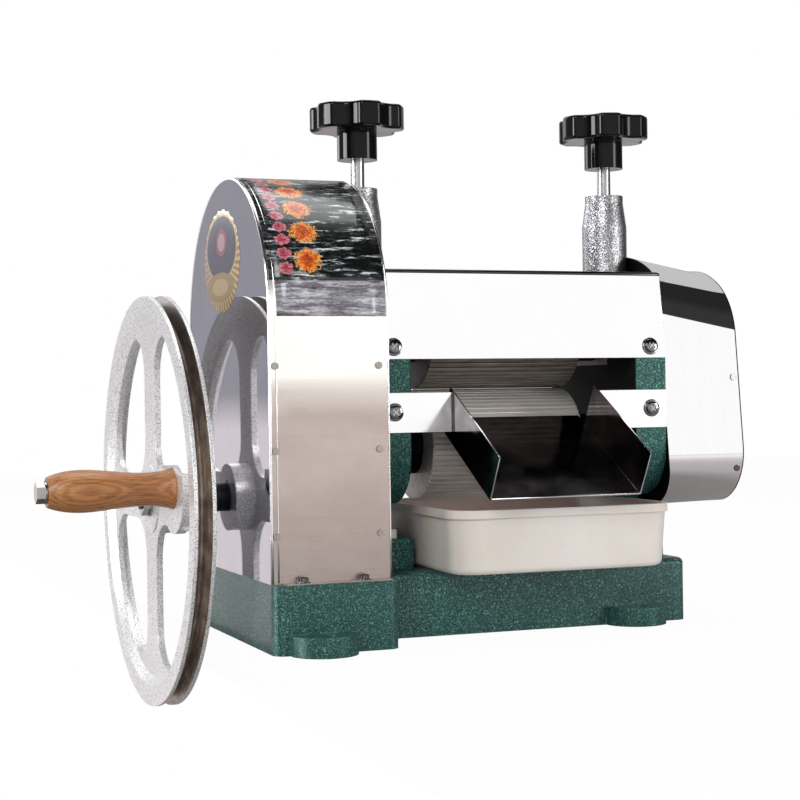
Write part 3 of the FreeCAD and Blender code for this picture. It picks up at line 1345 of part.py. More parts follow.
def discharge_chute():
    """A trough up to the lower roller, hung on a strip across each frame's front."""
    floor = sloped_box(across("chute_half_width"), ("0", "chute_floor_length"), ("-sheet", "0"))
    pieces = [floor]
    ends = {-1: "cover_right - cover_joint_gap", 1: FRAME_OUTSIDE}
    for side in (-1, 1):
        wall = span_beside(side, "(chute_half_width - sheet)", "chute_half_width")
        pieces.append(sloped_box(wall, ("0", "chute_wall_length"), ("-sheet / 2", "chute_wall_height")))
        strip = span_beside(side, "(chute_half_width - sheet / 2)", f"({ends[side]})")
        pieces.append(box(strip, ("-(frame_half_depth + sheet)", "-frame_half_depth"),
                          ("strip_bottom", "strip_top")))
    holes = [strip_screw_rod(side, "small_screw_radius", past(("-2 * sheet", "0"))) for side in (-1, 1)]
    return node("discharge_chute", cut(fuse(*pieces), *holes))


CAP_NEAR = ("cap_low_radius", "cap_high_radius", "cap_crest_radius", "cap_crest")
CAP_END = ("cap_end_low_radius", "cap_end_high_radius", "cap_end_crest_radius", "cap_end_crest")
CAP_RIM = ("(cap_right - 2 * cap_rivet_inset)", "cap_right")
CAP_LEAN = f"(({CAP_LOW_HALF} - {CAP_HIGH_HALF}) / (cap_crest - cap_bottom))"
CAP_SCREW_PLACES = ("(frame_bottom + cap_lower_screw_rise)", "(frame_shoulder + cap_upper_screw_rise)")


def cap_half_depth(height):
    return f"({CAP_LOW_HALF} - (({height}) - cap_bottom) * {CAP_LEAN})"


def rounded_corner(before, corner, after, radius):
    """The start, middle and end of the arc that rounds one corner of an outline."""
    back = (before - corner).normalize()
    ahead = (after - corner).normalize()
    half = back.getAngle(ahead) / 2
    inward = (back + ahead).normalize()
    reach = radius / math.tan(half)
    return (corner + back * reach, corner + inward * (radius / math.sin(half) - radius),
            corner + ahead * reach)


def cap_corners(inset, shape):
    """(depth, height, radius) of the right cover's corners: two low, two at the eaves and the ridge."""
    low_radius, high_radius, crest_radius, crest = shape
    slope = math.tan(math.asin(size("cap_crest_half_span") / size("cap_crest_radius")))
    lean = number(CAP_LEAN)
    bottom = number(f"cap_bottom + {inset}")
    foot = number(f"{cap_half_depth(f'(cap_bottom + {inset})')} - {inset}")
    above_crest = number(f"{crest_radius} - {inset}") * (math.hypot(1, slope) - 1)
    ridge = number(f"{crest} - {inset}") + above_crest
    eave = (ridge - slope * (foot + lean * bottom)) / (1 - slope * lean)
    half = foot - (eave - bottom) * lean
    return [(-foot, bottom, low_radius), (foot, bottom, low_radius), (half, eave, high_radius),
            (0, ridge, crest_radius), (-half, eave, high_radius)]


def cap_outline(x, inset, shape):
    """The right cover's rounded outline in the plane at x, brought in by an inset."""
    corners = cap_corners(inset, shape)
    points = [FreeCAD.Vector(number(x), depth, height) for depth, height, _ in corners]
    arcs = []
    for i, (_, _, radius) in enumerate(corners):
        after = points[(i + 1) % len(points)]
        arcs.append(rounded_corner(points[i - 1], points[i], after, number(f"{radius} - {inset}")))
    edges = []
    for i, (start, middle, end) in enumerate(arcs):
        edges.append(Part.Arc(start, middle, end).toShape())
        edges.append(Part.makeLine(end, arcs[(i + 1) % len(arcs)][0]))
    return Part.Wire(edges)


def cap_prism(x, inset, shape):
    """The same outline over an X span."""
    length = FreeCAD.Vector(number(f"({x[1]}) - ({x[0]})"), 0, 0)
    return shaped(Part.Face(cap_outline(x[0], inset, shape)).extrude(length), "cap_prism")


def cap_form(inset, ends):
    """The cover's body: its corners grow rounder up to the straight rim at its outer end."""
    stations = ((ends[0], CAP_NEAR), (FRAME_OUTSIDE, CAP_NEAR), (CAP_RIM[0], CAP_END), (ends[1], CAP_END))
    outlines = []
    for i, (x, shape) in enumerate(stations):
        if i == 0 or number(x) > number(stations[i - 1][0]):
            outlines.append(cap_outline(x, inset, shape))
    return shaped(Part.makeLoft(outlines, True, True), "cap_form")


def cap_screw_spots():
    """Where the right cover's flange is screwed to the frame's outer face."""
    return [(f"{way} * ({cap_half_depth(z)} - cap_flange / 2)", z)
            for z in CAP_SCREW_PLACES for way in (-1, 1)]


def cap_screw_rods(radius, x):
    return [rod("x", radius, spot, x) for spot in cap_screw_spots()]


def cap_rivet_places():
    """(centre, angle) of each rivet: one on each flat side, one on each lower corner."""
    lean = f"(atan({CAP_LEAN}) / 1 deg)"
    places = []
    for height, angle in (("(cap_bottom + cap_upper_rivet_height)", lean),
                          ("(cap_bottom + cap_end_low_radius)", "(0 - cap_lower_rivet_turn)")):
        depth = f"({cap_half_depth(height)} - cap_end_low_radius / cos(atan({CAP_LEAN})))"
        places += [((depth, height), angle), ((f"-{depth}", height), f"(180 - {angle})")]
    return places


def cap_rivet_holes(x):
    reach = ("cap_end_low_radius - cap_rivet_inset", over("cap_end_low_radius"))
    return [radial_rod("rivet_radius", centre, angle, reach, x) for centre, angle in cap_rivet_places()]


def right_cover():
    """A rounded sheet box over the coupling gears, with its end plate riveted in."""
    x = (FRAME_OUTSIDE, "cap_right")
    rivet_x = "cap_right - cap_rivet_inset"
    shell = cut(cap_form("0", x), cap_form("sheet", past(x)))
    flange_x = (x[0], f"{x[0]} + sheet")
    flange = cut(cap_prism(flange_x, "sheet / 2", CAP_NEAR),
                 cap_prism(past(flange_x), "cap_flange", CAP_NEAR))
    screw_holes = cap_screw_rods("small_screw_radius", past(flange_x))
    relief = rod("z", "tower_radius + seat_clearance", ("frame_spacing / 2", "0"),
                 past((FLANGE_TOP, "cap_crest")))
    node("right_cover", cut(fuse(shell, flange), relief, *(cap_rivet_holes(rivet_x) + screw_holes)))
    plate = cap_prism(("cap_right - sheet", "cap_right"), "sheet", CAP_END)
    rim = cut(cap_prism(CAP_RIM, "sheet", CAP_END), cap_prism(past(CAP_RIM), "2 * sheet", CAP_END))
    node("right_cover_end_plate", cut(fuse(plate, rim), *cap_rivet_holes(rivet_x)))
    node("right_cover_rivets", group(*[rivet(centre, angle, "cap_end_low_radius", rivet_x)
                                       for centre, angle in cap_rivet_places()]))
    screws = [pan_screw("x", spot, flange_x[1]) for spot in cap_screw_spots()]
    node("right_cover_screws", group(*screws))


# ---- juice tray ------------------------------------------------------------------------

def tray_block(z, inset, foot_inset):
    """The tray's tapered outline between two heights, brought in by an inset."""
    top_x = (f"-(tray_left - {inset})", f"tray_right - {inset}")
    top_y = (f"-(tray_front - {inset})", f"tray_back - {inset}")
    low_x = (f"{top_x[0]} + {foot_inset}", f"{top_x[1]} - ({foot_inset})")
    low_y = (f"{top_y[0]} + {foot_inset}", f"{top_y[1]} - ({foot_inset})")
    return tapered(z, (low_x, low_y), (top_x, top_y))


def stands_up(edge):
    line = edge.Curve
    return isinstance(line, (Part.Line, Part.LineSegment)) and abs(line.Direction.z) > 0.9


def juice_tray():
    """A moulded tray that slides out to the front over the base's deck."""
    top = "base_height + tray_height"
    radius = size("tray_corner_radius")
    outer = round_edges(tray_block(("base_height", top), "0", "tray_taper"), radius, stands_up)
    outer = round_edges(outer, size("tray_foot_radius"), lies_at_height(size("base_height")))
    inner = round_edges(tray_block(("base_height + tray_wall", top), "tray_wall", "tray_taper"),
                        radius - size("tray_wall"), stands_up)
    rim = tray_block((f"{top} - rim_height", top), "-rim_reach", "0")
    rim = round_edges(rim, radius + size("rim_reach"), stands_up)
    return node("juice_tray", cut(fuse(outer, rim), inner))


# ---- the whole machine -----------------------------------------------------------------

base_casting()
side_frame(-1, "left_side_frame")
side_frame(1, "right_side_frame")
frame_bolts()
for side, word in ((-1, "left"), (1, "right")):
    screw_tower(side, f"{word}_screw_tower")
    pressure_screw(side, f"{word}_pressure_screw")
    star_knob(side, f"{word}_star_knob")
tower_bolts()
node("upper_bearing_blocks", group(bearing_block(-1), bearing_block(1)))
roller_bushes("upper_bushes", UPPER)
roller_bushes("lower_bushes", LOWER)
ribbed_roller("upper_roller", UPPER_AXIS)
ribbed_roller("lower_roller", "roller_axis_height")
roller_shafts()
roller_spacers()
main_gear()
coupling_gear("upper_coupling_gear", UPPER, -math.pi / 2)
coupling_gear("lower_coupling_gear", LOWER, facing_gap(-math.pi / 2, "coupling_teeth"))
idler_train()
drive_bracket()
handwheel_shaft()
handwheel()
handle_grip()
handle_fasteners()
gear_cover()
top_hood()
discharge_chute()
panel_screws()
right_cover()
juice_tray()
doc.recompute()

faults = [item.Name for item in doc.Objects if set(item.State) & {"Invalid", "Error"}]
faults += [item.Label for item in nodes if item.Shape.isNull() or not item.Shape.isValid()]
if faults:
    raise RuntimeError(f"these pieces failed: {', '.join(faults)}")

os.makedirs("parts", exist_ok=True)
for item in nodes:
    item.Shape.exportStep(f"parts/{item.Label}.step")
    print(f"{item.Label}: {len(item.Shape.Solids)} solids, {item.Shape.Volume / 1000:.1f} cm3")
print(len(nodes), "nodes")
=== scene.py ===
import math

import bmesh
import bpy
from mathutils import Matrix, Vector


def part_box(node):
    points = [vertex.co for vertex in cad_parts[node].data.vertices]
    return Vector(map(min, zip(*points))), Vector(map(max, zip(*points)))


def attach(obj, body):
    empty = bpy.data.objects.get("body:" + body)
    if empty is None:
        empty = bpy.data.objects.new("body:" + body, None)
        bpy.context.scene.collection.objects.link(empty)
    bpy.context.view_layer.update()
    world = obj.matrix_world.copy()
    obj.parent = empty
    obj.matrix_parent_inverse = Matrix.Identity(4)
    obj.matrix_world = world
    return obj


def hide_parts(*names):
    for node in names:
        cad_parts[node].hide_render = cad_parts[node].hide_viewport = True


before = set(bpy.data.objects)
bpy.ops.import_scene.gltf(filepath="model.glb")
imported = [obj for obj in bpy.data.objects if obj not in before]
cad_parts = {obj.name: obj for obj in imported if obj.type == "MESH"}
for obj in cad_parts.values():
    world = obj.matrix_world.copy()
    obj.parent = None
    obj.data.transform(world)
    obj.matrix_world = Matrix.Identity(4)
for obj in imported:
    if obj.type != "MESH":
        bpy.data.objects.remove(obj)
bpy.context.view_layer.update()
scene = bpy.context.scene
scene.view_settings.view_transform = "Standard"


# ---- places, in metres and radians, from the frame's boxes where it holds them ----------

def middle_of(node):
    """The middle of a node's box."""
    low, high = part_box(node)
    return (low + high) / 2


BAND_LOW, BAND_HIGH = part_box("gear_cover_band")
COVER_LEFT = BAND_LOW.x
COVER_RIGHT = BAND_HIGH.x
COVER_FOOT = BAND_LOW.z
ARCH_RADIUS = 0.123
ARCH_HEIGHT = BAND_HIGH.z - ARCH_RADIUS

# Heights on the gear cover's band where its painted reflection changes.
PAINTED_TOP_EDGE = 0.214
PAINTED_BAND_HEIGHT = 0.204

# Where the right cover's bend starts and how high it is, at the frame; both change toward its end.
CAP_LOW, CAP_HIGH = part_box("right_cover")
EAVE_HEIGHT, EAVE_DROP = 0.272, 0.0154
BEND_HEIGHT, BEND_GROWTH = 0.030, 0.0054
CORNER_HEIGHT = 0.046

# The hood's sides lean in by 9.5 mm over 63.
HOOD_LOW, HOOD_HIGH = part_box("top_hood")
HOOD_LEAN = math.atan(9.5 / 63)
HOOD_FOLD_DEPTH = 0.0720
HOOD_FOLD_RADIUS = 0.0021

# The side frames' faces toward the rollers, painted near-black as shade from this height up.
CHEEK_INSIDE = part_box("right_side_frame")[0].x
SHADE_FOOT = 0.110

WHEEL_LOW, WHEEL_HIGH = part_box("handwheel")
WHEEL_MIDDLE = middle_of("handwheel")
GROOVE_X = WHEEL_LOW.x + 0.0090
GROOVE_HALF_WIDTH = 0.0059
GROOVE_INNER_RADIUS = 0.166

UPPER_ROLLER_HEIGHT = middle_of("upper_roller").z
LOWER_ROLLER_HEIGHT = middle_of("lower_roller").z
ROLLER_NIP = (UPPER_ROLLER_HEIGHT + LOWER_ROLLER_HEIGHT) / 2
ROLLER_HALF_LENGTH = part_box("upper_roller")[1].x

# The chute's lip is the trough's front edge; its walls stand square to the slope.
CHUTE_SLOPE = math.radians(29.3)
CHUTE_LIP_DEPTH = -0.1585
CHUTE_LIP_HEIGHT = 0.1185
CHUTE_HALF_WIDTH = 0.068
CHUTE_WALL_LENGTH = 0.114
CHUTE_WALL_HEIGHT = 0.039

# Each screw size is its head's radius and how far its washer stands out round it.
LARGE_SCREW = (0.0055, 0.0021)
SMALL_SCREW = (0.0040, 0.0018)

# The strip's and the hood's screws, across (Y) and up (Z).
PANEL_SCREW_X = 0.12
STRIP_SCREW = (-0.0877, 0.188)
HOOD_SCREW = (0.08299, 0.242)
FOOT_SCREW_LOW, FOOT_SCREW_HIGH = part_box("gear_cover_screws")
FOOT_SCREW_DEPTH = 0.12715

# On the side plate, across (Y) and up (Z).
BADGE_MIDDLE = (0.012, 0.318)
BADGE_HALF = (0.057, 0.0435)
BADGE_RAYS = 44

# The film's turns start at the arch's front spring line and go up.
FILM_LEFT = COVER_LEFT + 0.0023
FILM_FOOT_LEFT = COVER_LEFT + 0.0070
FILM_RIGHT = COVER_RIGHT - 0.0022
FILM_PROUD = 0.0003
FILM_START_TURN = 0.012
FILM_FOOT_TURN = 0.245
FILM_END_TURN = 1.75

OBJECT_MIDDLE = Vector((-0.05, 0.0, 0.2))


# ---- camera ----------------------------------------------------------------------------

CAMERA_PLACE = (-0.6323, -1.4366, 0.2048)
CAMERA_YAW = math.radians(20.92)
CAMERA_PITCH = math.radians(0.262)
CAMERA_ROLL = math.radians(0.766)
CAMERA_LENS = 78.84
CAMERA_SENSOR = 36


def add_camera():
    """A camera in front and a little to the left, slightly rolled."""
    forward = Vector((math.sin(CAMERA_YAW) * math.cos(CAMERA_PITCH),
                      math.cos(CAMERA_YAW) * math.cos(CAMERA_PITCH), -math.sin(CAMERA_PITCH)))
    level = Vector((math.cos(CAMERA_YAW), -math.sin(CAMERA_YAW), 0))
    down = forward.cross(level)
    right = math.cos(CAMERA_ROLL) * level + math.sin(CAMERA_ROLL) * down
    up = right.cross(forward)
    data = bpy.data.cameras.new("camera")
    data.lens = CAMERA_LENS
    data.sensor_width = CAMERA_SENSOR
    data.sensor_fit = "HORIZONTAL"
    data.clip_start = 0.05
    data.clip_end = 50
    camera = bpy.data.objects.new("camera", data)
    turned = Matrix((right, up, -forward)).transposed()
    camera.matrix_world = Matrix.Translation(CAMERA_PLACE) @ turned.to_4x4()
    scene.collection.objects.link(camera)
    scene.camera = camera


# ---- node graphs -----------------------------------------------------------------------

def paint(text):
    """A linear colour from a six-digit sRGB one."""
    parts = [int(text[i:i + 2], 16) / 255 for i in (0, 2, 4)]
    linear = [c / 12.92 if c <= 0.04045 else ((c + 0.055) / 1.055) ** 2.4 for c in parts]
    return (*linear, 1.0)


class Nodes:
    """A node tree and short ways to add nodes to it. A value is a number, a colour or a socket."""

    def __init__(self, tree):
        self.tree = tree
        self.tree.nodes.clear()

    def link(self, start, end):
        self.tree.links.new(start, end)

    def feed(self, socket, value):
        """A number or colour set on a socket, or another socket linked to it."""
        if isinstance(value, bpy.types.NodeSocket):
            self.link(value, socket)
        else:
            socket.default_value = value

    def feed_all(self, sockets, values):
        for socket, value in zip(sockets, values):
            self.feed(socket, value)

    def add(self, kind, settings=None, **inputs):
        """A new node; in the inputs' names an underscore stands for a space."""
        made = self.tree.nodes.new(kind)
        for key, value in (settings or {}).items():
            setattr(made, key, value)
        for key, value in inputs.items():
            self.feed(made.inputs[key.replace("_", " ")], value)
        return made

    def split(self, vector):
        """A vector's X, Y and Z."""
        made = self.add("ShaderNodeSeparateXYZ", Vector=vector)
        return made.outputs["X"], made.outputs["Y"], made.outputs["Z"]

    def ramp(self, value, *stops):
        """Stops are (place, colour)."""
        made = self.add("ShaderNodeValToRGB", Fac=value)
        elements = made.color_ramp.elements
        while len(elements) < len(stops):
            elements.new(1.0)
        for element, (spot, colour) in zip(elements, stops):
            element.position = spot
            element.color = colour
        return made.outputs["Color"]

    def spread(self, value, low, high, out_low=0.0, out_high=1.0, smooth=False):
        """A value between low and high, brought to between out_low and out_high."""
        settings = {"interpolation_type": "SMOOTHSTEP" if smooth else "LINEAR"}
        made = self.add("ShaderNodeMapRange", settings, Value=value, From_Min=low, From_Max=high,
                        To_Min=out_low, To_Max=out_high)
        return made.outputs["Result"]

    def math(self, operation, first, second=0.5, clamp=False):
        """A calculation with one value or two; clamp keeps its result between 0 and 1."""
        made = self.add("ShaderNodeMath", {"operation": operation, "use_clamp": clamp})
        self.feed_all(made.inputs, (first, second))
        return made.outputs["Value"]

    def blend(self, first, share, second, second_share):
        """Two values added, each times its share."""
        return self.math("ADD", self.math("MULTIPLY", first, share),
                         self.math("MULTIPLY", second, second_share))

    def length(self, first, second):
        """The length of a vector with these two parts."""
        squares = self.math("ADD", self.math("MULTIPLY", first, first),
                            self.math("MULTIPLY", second, second))
        return self.math("SQRT", squares)

    def dot(self, first, second):
        """Two vectors' dot product."""
        made = self.add("ShaderNodeVectorMath", {"operation": "DOT_PRODUCT"})
        self.feed_all(made.inputs, (first, second))
        return made.outputs["Value"]

    def mix(self, factor, first, second):
        """The first colour at factor 0 and the second at 1."""
        made = self.add("ShaderNodeMix", {"data_type": "RGBA"})
        self.feed_all((made.inputs[0], made.inputs[6], made.inputs[7]), (factor, first, second))
        return made.outputs[2]

    def mix_shaders(self, factor, first, second):
        """The first shader at factor 0 and the second at 1."""
        made = self.add("ShaderNodeMixShader")
        self.feed_all(made.inputs, (factor, first, second))
        return made.outputs[0]


class Graph(Nodes):
    """A material whose nodes read the object's own coordinates."""

    def __init__(self, name, **shader):
        self.material = bpy.data.materials.new(name)
        self.material.use_nodes = True
        super().__init__(self.material.node_tree)
        self.out = self.add("ShaderNodeOutputMaterial")
        self.shader = self.add("ShaderNodeBsdfPrincipled", **shader)
        self.link(self.shader.outputs["BSDF"], self.out.inputs["Surface"])

    def set(self, **inputs):
        """The shader's inputs, and then the material."""
        for key, value in inputs.items():
            self.feed(self.shader.inputs[key.replace("_", " ")], value)
        return self.material

    def place(self, stretch=(1, 1, 1), shift=(0, 0, 0)):
        """The object's own coordinates in metres, stretched, then shifted."""
        coords = self.add("ShaderNodeTexCoord")
        made = self.add("ShaderNodeMapping", Vector=coords.outputs["Object"], Scale=stretch, Location=shift)
        return made.outputs["Vector"]

    def axes(self, stretch=(1, 1, 1), shift=(0, 0, 0)):
        """The same coordinates as X, Y and Z."""
        return self.split(self.place(stretch, shift))

    def noise(self, scale, detail=3.0, rough=0.55, stretch=(1, 1, 1), warp=0.0, at=None):
        """Noise at the object's own coordinates, or at others."""
        made = self.add("ShaderNodeTexNoise", Vector=self.place(stretch) if at is None else at, Scale=scale,
                        Detail=detail, Roughness=rough, Distortion=warp)
        return made.outputs["Fac"]

    def cells(self, scale):
        """The distance to the middle of the nearest of many small cells."""
        return self.add("ShaderNodeTexVoronoi", Vector=self.place(), Scale=scale).outputs["Distance"]

    def flat_way(self):
        """The direction that the face itself looks in."""
        return self.add("ShaderNodeNewGeometry").outputs["True Normal"]

    def bump(self, height, strength, distance, before):
        """The direction given, tilted by the slopes of a height."""
        return self.add("ShaderNodeBump", Height=height, Strength=strength, Distance=distance,
                        Normal=before).outputs["Normal"]

    def soft_edges(self, radius):
        """The surface's direction, turned evenly round edges."""
        return self.add("ShaderNodeBevel", {"samples": 4}, Radius=radius).outputs["Normal"]

    def worn_edges(self):
        """Near 1 along edges, 0 on open faces, broken up into patches."""
        bevel = self.add("ShaderNodeBevel", {"samples": 6}, Radius=0.0012)
        geometry = self.add("ShaderNodeNewGeometry")
        edge = self.spread(self.dot(bevel.outputs["Normal"], geometry.outputs["Normal"]), 0.995, 0.9)
        return self.math("MULTIPLY", edge, self.spread(self.noise(180.0), 0.45, 0.7), True)


# ---- finishes --------------------------------------------------------------------------

def silver_paint():
    """Silver hammer-finish paint: leafy flakes that run together into dimpled cells."""
    g = Graph("silver_hammer", Metallic=0.95, Coat_Weight=0.35, Coat_Roughness=0.18)
    middle = paint("747478")
    light = paint("e6e6e8")
    cells = g.cells(1000.0)
    fine = g.noise(1500.0, 4.0, 0.7)
    fleck = g.blend(cells, 0.55, fine, 0.75)
    colour = g.ramp(fleck, (0.42, paint("202022")), (0.62, middle), (0.82, light))
    colour = g.mix(g.spread(g.noise(14.0, 2.0), 0.35, 0.75, 0.0, 0.22), colour, middle)
    colour = g.mix(g.math("MULTIPLY", g.worn_edges(), 0.5), colour, light)
    height = g.math("ADD", cells, g.math("MULTIPLY", fine, 0.5))
    normal = g.bump(height, 0.3, 0.0006, g.soft_edges(0.0012))
    return g.set(Base_Color=colour, Roughness=g.spread(fleck, 0.4, 0.9, 0.42, 0.26), Normal=normal)


def steel(name, colour, worn, rough, edge, grain=(1, 1, 1), show=0.16, scratch=0.02, wave=0.0):
    """Bare steel: fine grain along one way, faint smears, and slow waves in thin sheet."""
    g = Graph(name, Metallic=1.0)
    lines = g.noise(900.0, 4.0, 0.75, grain)
    smear = g.noise(22.0, 3.0, 0.6, warp=0.4)
    shade = g.mix(g.spread(smear, 0.35, 0.75, 0.0, 0.6), paint(colour), paint(worn))
    shade = g.mix(g.spread(lines, 0.3, 0.75, show, 0.0), shade, paint("8c8a8c"))
    roughness = g.spread(g.blend(lines, 0.6, smear, 0.4), 0.3, 0.75, rough * 0.75, rough * 1.35)
    normal = g.soft_edges(edge)
    if wave:
        normal = g.bump(g.noise(9.0, 1.0), wave, 0.004, normal)
    return g.set(Base_Color=shade, Roughness=roughness, Normal=g.bump(lines, scratch, 0.0002, normal))


def band_steel():
    """The gear cover's band: satin sheet with painted reflection, near-white above and beige-pink lower down,
    with a brownish band.
    """
    g = Graph("band_satin", Metallic=1.0, Anisotropic=0.5)
    lines = g.noise(700.0, 4.0, 0.75, (0.03, 0.5, 1))
    mottle = g.noise(11.0, 3.0, 0.55, (0.6, 1, 1.6), 0.8)
    # painted reflection: the beige-pink lower tones, the near-white top and the brownish band stand in for
    # surroundings seen in the sheet; the mottle varies them at random
    low = g.ramp(mottle, (0.3, paint("b9aaa4")), (0.5, paint("c2b4ae")), (0.72, paint("cbbeb8")))
    low = g.mix(g.spread(g.noise(60.0, 5.0, 0.65), 0.35, 0.7, 0.0, 0.35), low, paint("b6a69f"))
    _, _, z = g.axes()
    painted_bright_top = g.spread(g.math("ADD", z, g.math("MULTIPLY", mottle, 0.02)), PAINTED_TOP_EDGE - 0.018, PAINTED_TOP_EDGE + 0.018)
    colour = g.mix(painted_bright_top, low, paint("fffdf6"))
    from_painted_band = g.math("ABSOLUTE", g.math("SUBTRACT", z, PAINTED_BAND_HEIGHT))
    painted_dark_band = g.math("MULTIPLY", g.spread(from_painted_band, 0.0, 0.014, 1.0, 0.0),
                    g.spread(mottle, 0.35, 0.6, 0.1, 0.45), True)
    colour = g.mix(painted_dark_band, colour, paint("a8948a"))
    waves = g.bump(g.noise(7.0, 1.0), 0.25, 0.004, g.soft_edges(0.0006))
    return g.set(Base_Color=colour, Roughness=g.spread(lines, 0.3, 0.75, 0.24, 0.4),
                 Normal=g.bump(lines, 0.05, 0.0002, waves))


def roller_metal():
    """Ribbed steel, streaked along its ribs; the lower roller is painted light as if lit, the upper one
    painted dark as shade under the hood.
    """
    g = Graph("ribbed_roller_steel", Metallic=0.5)
    _, _, z = g.axes()
    lower = g.spread(z, ROLLER_NIP - 0.0001, ROLLER_NIP + 0.0001, 1.0, 0.0)
    streak = g.noise(420.0, 4.0, 0.7, (0.05, 1, 1))
    mottle = g.noise(38.0, 4.0, 0.6, (0.5, 1, 1), 0.5)
    colour = g.ramp(streak, (0.3, paint("7d766f")), (0.55, paint("c2bbb3")), (0.8, paint("f1ede8")))
    colour = g.mix(g.spread(mottle, 0.4, 0.7, 0.0, 0.45), colour, paint("8f857b"))
    # painted light and shade: the lower roller is mixed toward near-white, the upper one toward dark
    # brown-grey
    colour = g.mix(0.5, colour, g.mix(lower, paint("4b443e"), paint("fffcf8")))
    normal = g.bump(streak, 0.12, 0.0003, g.soft_edges(0.0003))
    return g.set(Base_Color=colour, Roughness=g.spread(streak, 0.3, 0.8, 0.5, 0.28), Normal=normal)


def wheel_metal():
    """The silver casting, painted darker on its back faces as shade, with the groove round its rim turned
    bare and gone brown.
    """
    g = Graph("wheel_silver")
    fleck = g.blend(g.cells(620.0), 0.5, g.noise(1000.0, 4.0, 0.7), 0.75)
    silver_face = g.ramp(fleck, (0.40, paint("565558")), (0.52, paint("d6d4d5")), (0.64, paint("ffffff")))
    silver_face = g.mix(g.spread(g.noise(16.0, 2.0), 0.35, 0.75, 0.0, 0.25), silver_face, paint("dedddd"))
    x, y, z = g.axes((1, 1, 1), (-GROOVE_X, -WHEEL_MIDDLE.y, -WHEEL_MIDDLE.z))
    inside = g.math("LESS_THAN", g.math("ABSOLUTE", x), GROOVE_HALF_WIDTH)
    groove = g.math("MULTIPLY", inside, g.math("GREATER_THAN", g.length(y, z), GROOVE_INNER_RADIUS))
    rust = g.ramp(g.blend(g.noise(900.0, 3.0, 0.7, (1, 0.04, 0.04)), 0.5, g.noise(70.0, 4.0), 0.5),
                  (0.35, paint("6a5b52")), (0.52, paint("a8978b")), (0.7, paint("e2d5c9")))
    rust = g.mix(g.spread(z, 0.03, 0.13, 0.0, 0.8), rust, paint("3c3330"))
    # painted shade: faces that look toward +X are mixed toward dark grey, so the wheel's back shows as
    # shaded, also where the side plate reflects it
    face_x, _, _ = g.split(g.flat_way())
    back = g.math("MULTIPLY", g.math("GREATER_THAN", face_x, 0.5), 0.38)
    colour = g.mix(groove, g.mix(back, silver_face, paint("4b4a4e")), rust)
    height = g.math("ADD", g.cells(430.0), g.math("MULTIPLY", g.noise(700.0, 4.0, 0.7), 0.5))
    normal = g.bump(height, 0.22, 0.0006, g.soft_edges(0.0012))
    metallic = g.math("MAXIMUM", g.math("MULTIPLY", groove, 0.6), 0.45)
    rough = g.spread(fleck, 0.4, 0.9, 0.46, 0.28)
    return g.set(Base_Color=colour, Metallic=metallic, Normal=normal, Roughness=rough)


def wood():
    """Turned, oiled wood with long bands, fibres and dark pores."""
    g = Graph("turned_wood", Coat_Weight=0.25, Coat_Roughness=0.25)
    wander = g.noise(26.0, 2.0, 0.5, (0.25, 1, 1))
    rings = g.add("ShaderNodeTexWave", {"wave_type": "BANDS", "bands_direction": "Y"},
                  Vector=g.place((0.12, 1, 0.6)), Scale=150.0, Distortion=6.0, Detail=4.0, Detail_Scale=1.4)
    fibre = g.noise(520.0, 5.0, 0.7, (0.04, 1, 1))
    pores = g.noise(900.0, 2.0, 0.5, (0.05, 1, 1))
    colour = g.ramp(rings.outputs["Fac"], (0.1, paint("b0753f")), (0.5, paint("c0834b")),
                    (0.9, paint("cf9559")))
    colour = g.mix(g.spread(wander, 0.35, 0.7, 0.0, 0.4), colour, paint("a96a3d"))
    colour = g.mix(g.spread(fibre, 0.35, 0.7, 0.45, 0.0), colour, paint("8d5430"))
    colour = g.mix(g.spread(pores, 0.55, 0.68, 0.0, 0.6), colour, paint("5e3218"))
    normal = g.bump(g.math("ADD", fibre, pores), 0.12, 0.0003, g.soft_edges(0.0008))
    return g.set(Base_Color=colour, Roughness=g.spread(fibre, 0.3, 0.7, 0.5, 0.36), Normal=normal)


def knob_plastic():
    """Glossy black moulding with a little dust."""
    g = Graph("black_phenolic", Specular_IOR_Level=0.2)
    swirl = g.noise(45.0, 3.0, 0.5, warp=0.6)
    dust = g.spread(g.noise(1400.0, 2.0, 0.5), 0.66, 0.78, 0.0, 0.35)
    black = g.ramp(swirl, (0.3, paint("050506")), (0.7, paint("0c0c0e")))
    normal = g.bump(g.noise(120.0, 2.0), 0.05, 0.0005, g.soft_edges(0.0008))
    return g.set(Base_Color=g.mix(dust, black, paint("242427")), Normal=normal,
                 Roughness=g.spread(swirl, 0.3, 0.7, 0.05, 0.1))


def tray_plastic():
    """Milky moulding, faintly streaked by its flow and scuffed by use."""
    g = Graph("milky_polypropylene", Subsurface_Weight=0.35, Subsurface_Scale=0.004, Transmission_Weight=0.08)
    flow = g.noise(24.0, 3.0, 0.5, (0.5, 1, 0.3), 0.3)
    scuff = g.noise(500.0, 4.0, 0.7, (0.15, 1, 1))
    colour = g.ramp(flow, (0.3, paint("dcd3cb")), (0.7, paint("ebe5e0")))
    colour = g.mix(g.spread(scuff, 0.6, 0.75, 0.0, 0.25), colour, paint("c8bcb0"))
    uneven = g.bump(g.noise(30.0, 2.0), 0.08, 0.001, g.soft_edges(0.001))
    return g.set(Base_Color=colour, Roughness=g.spread(scuff, 0.35, 0.7, 0.34, 0.5),
                 Normal=g.bump(scuff, 0.06, 0.0003, uneven))


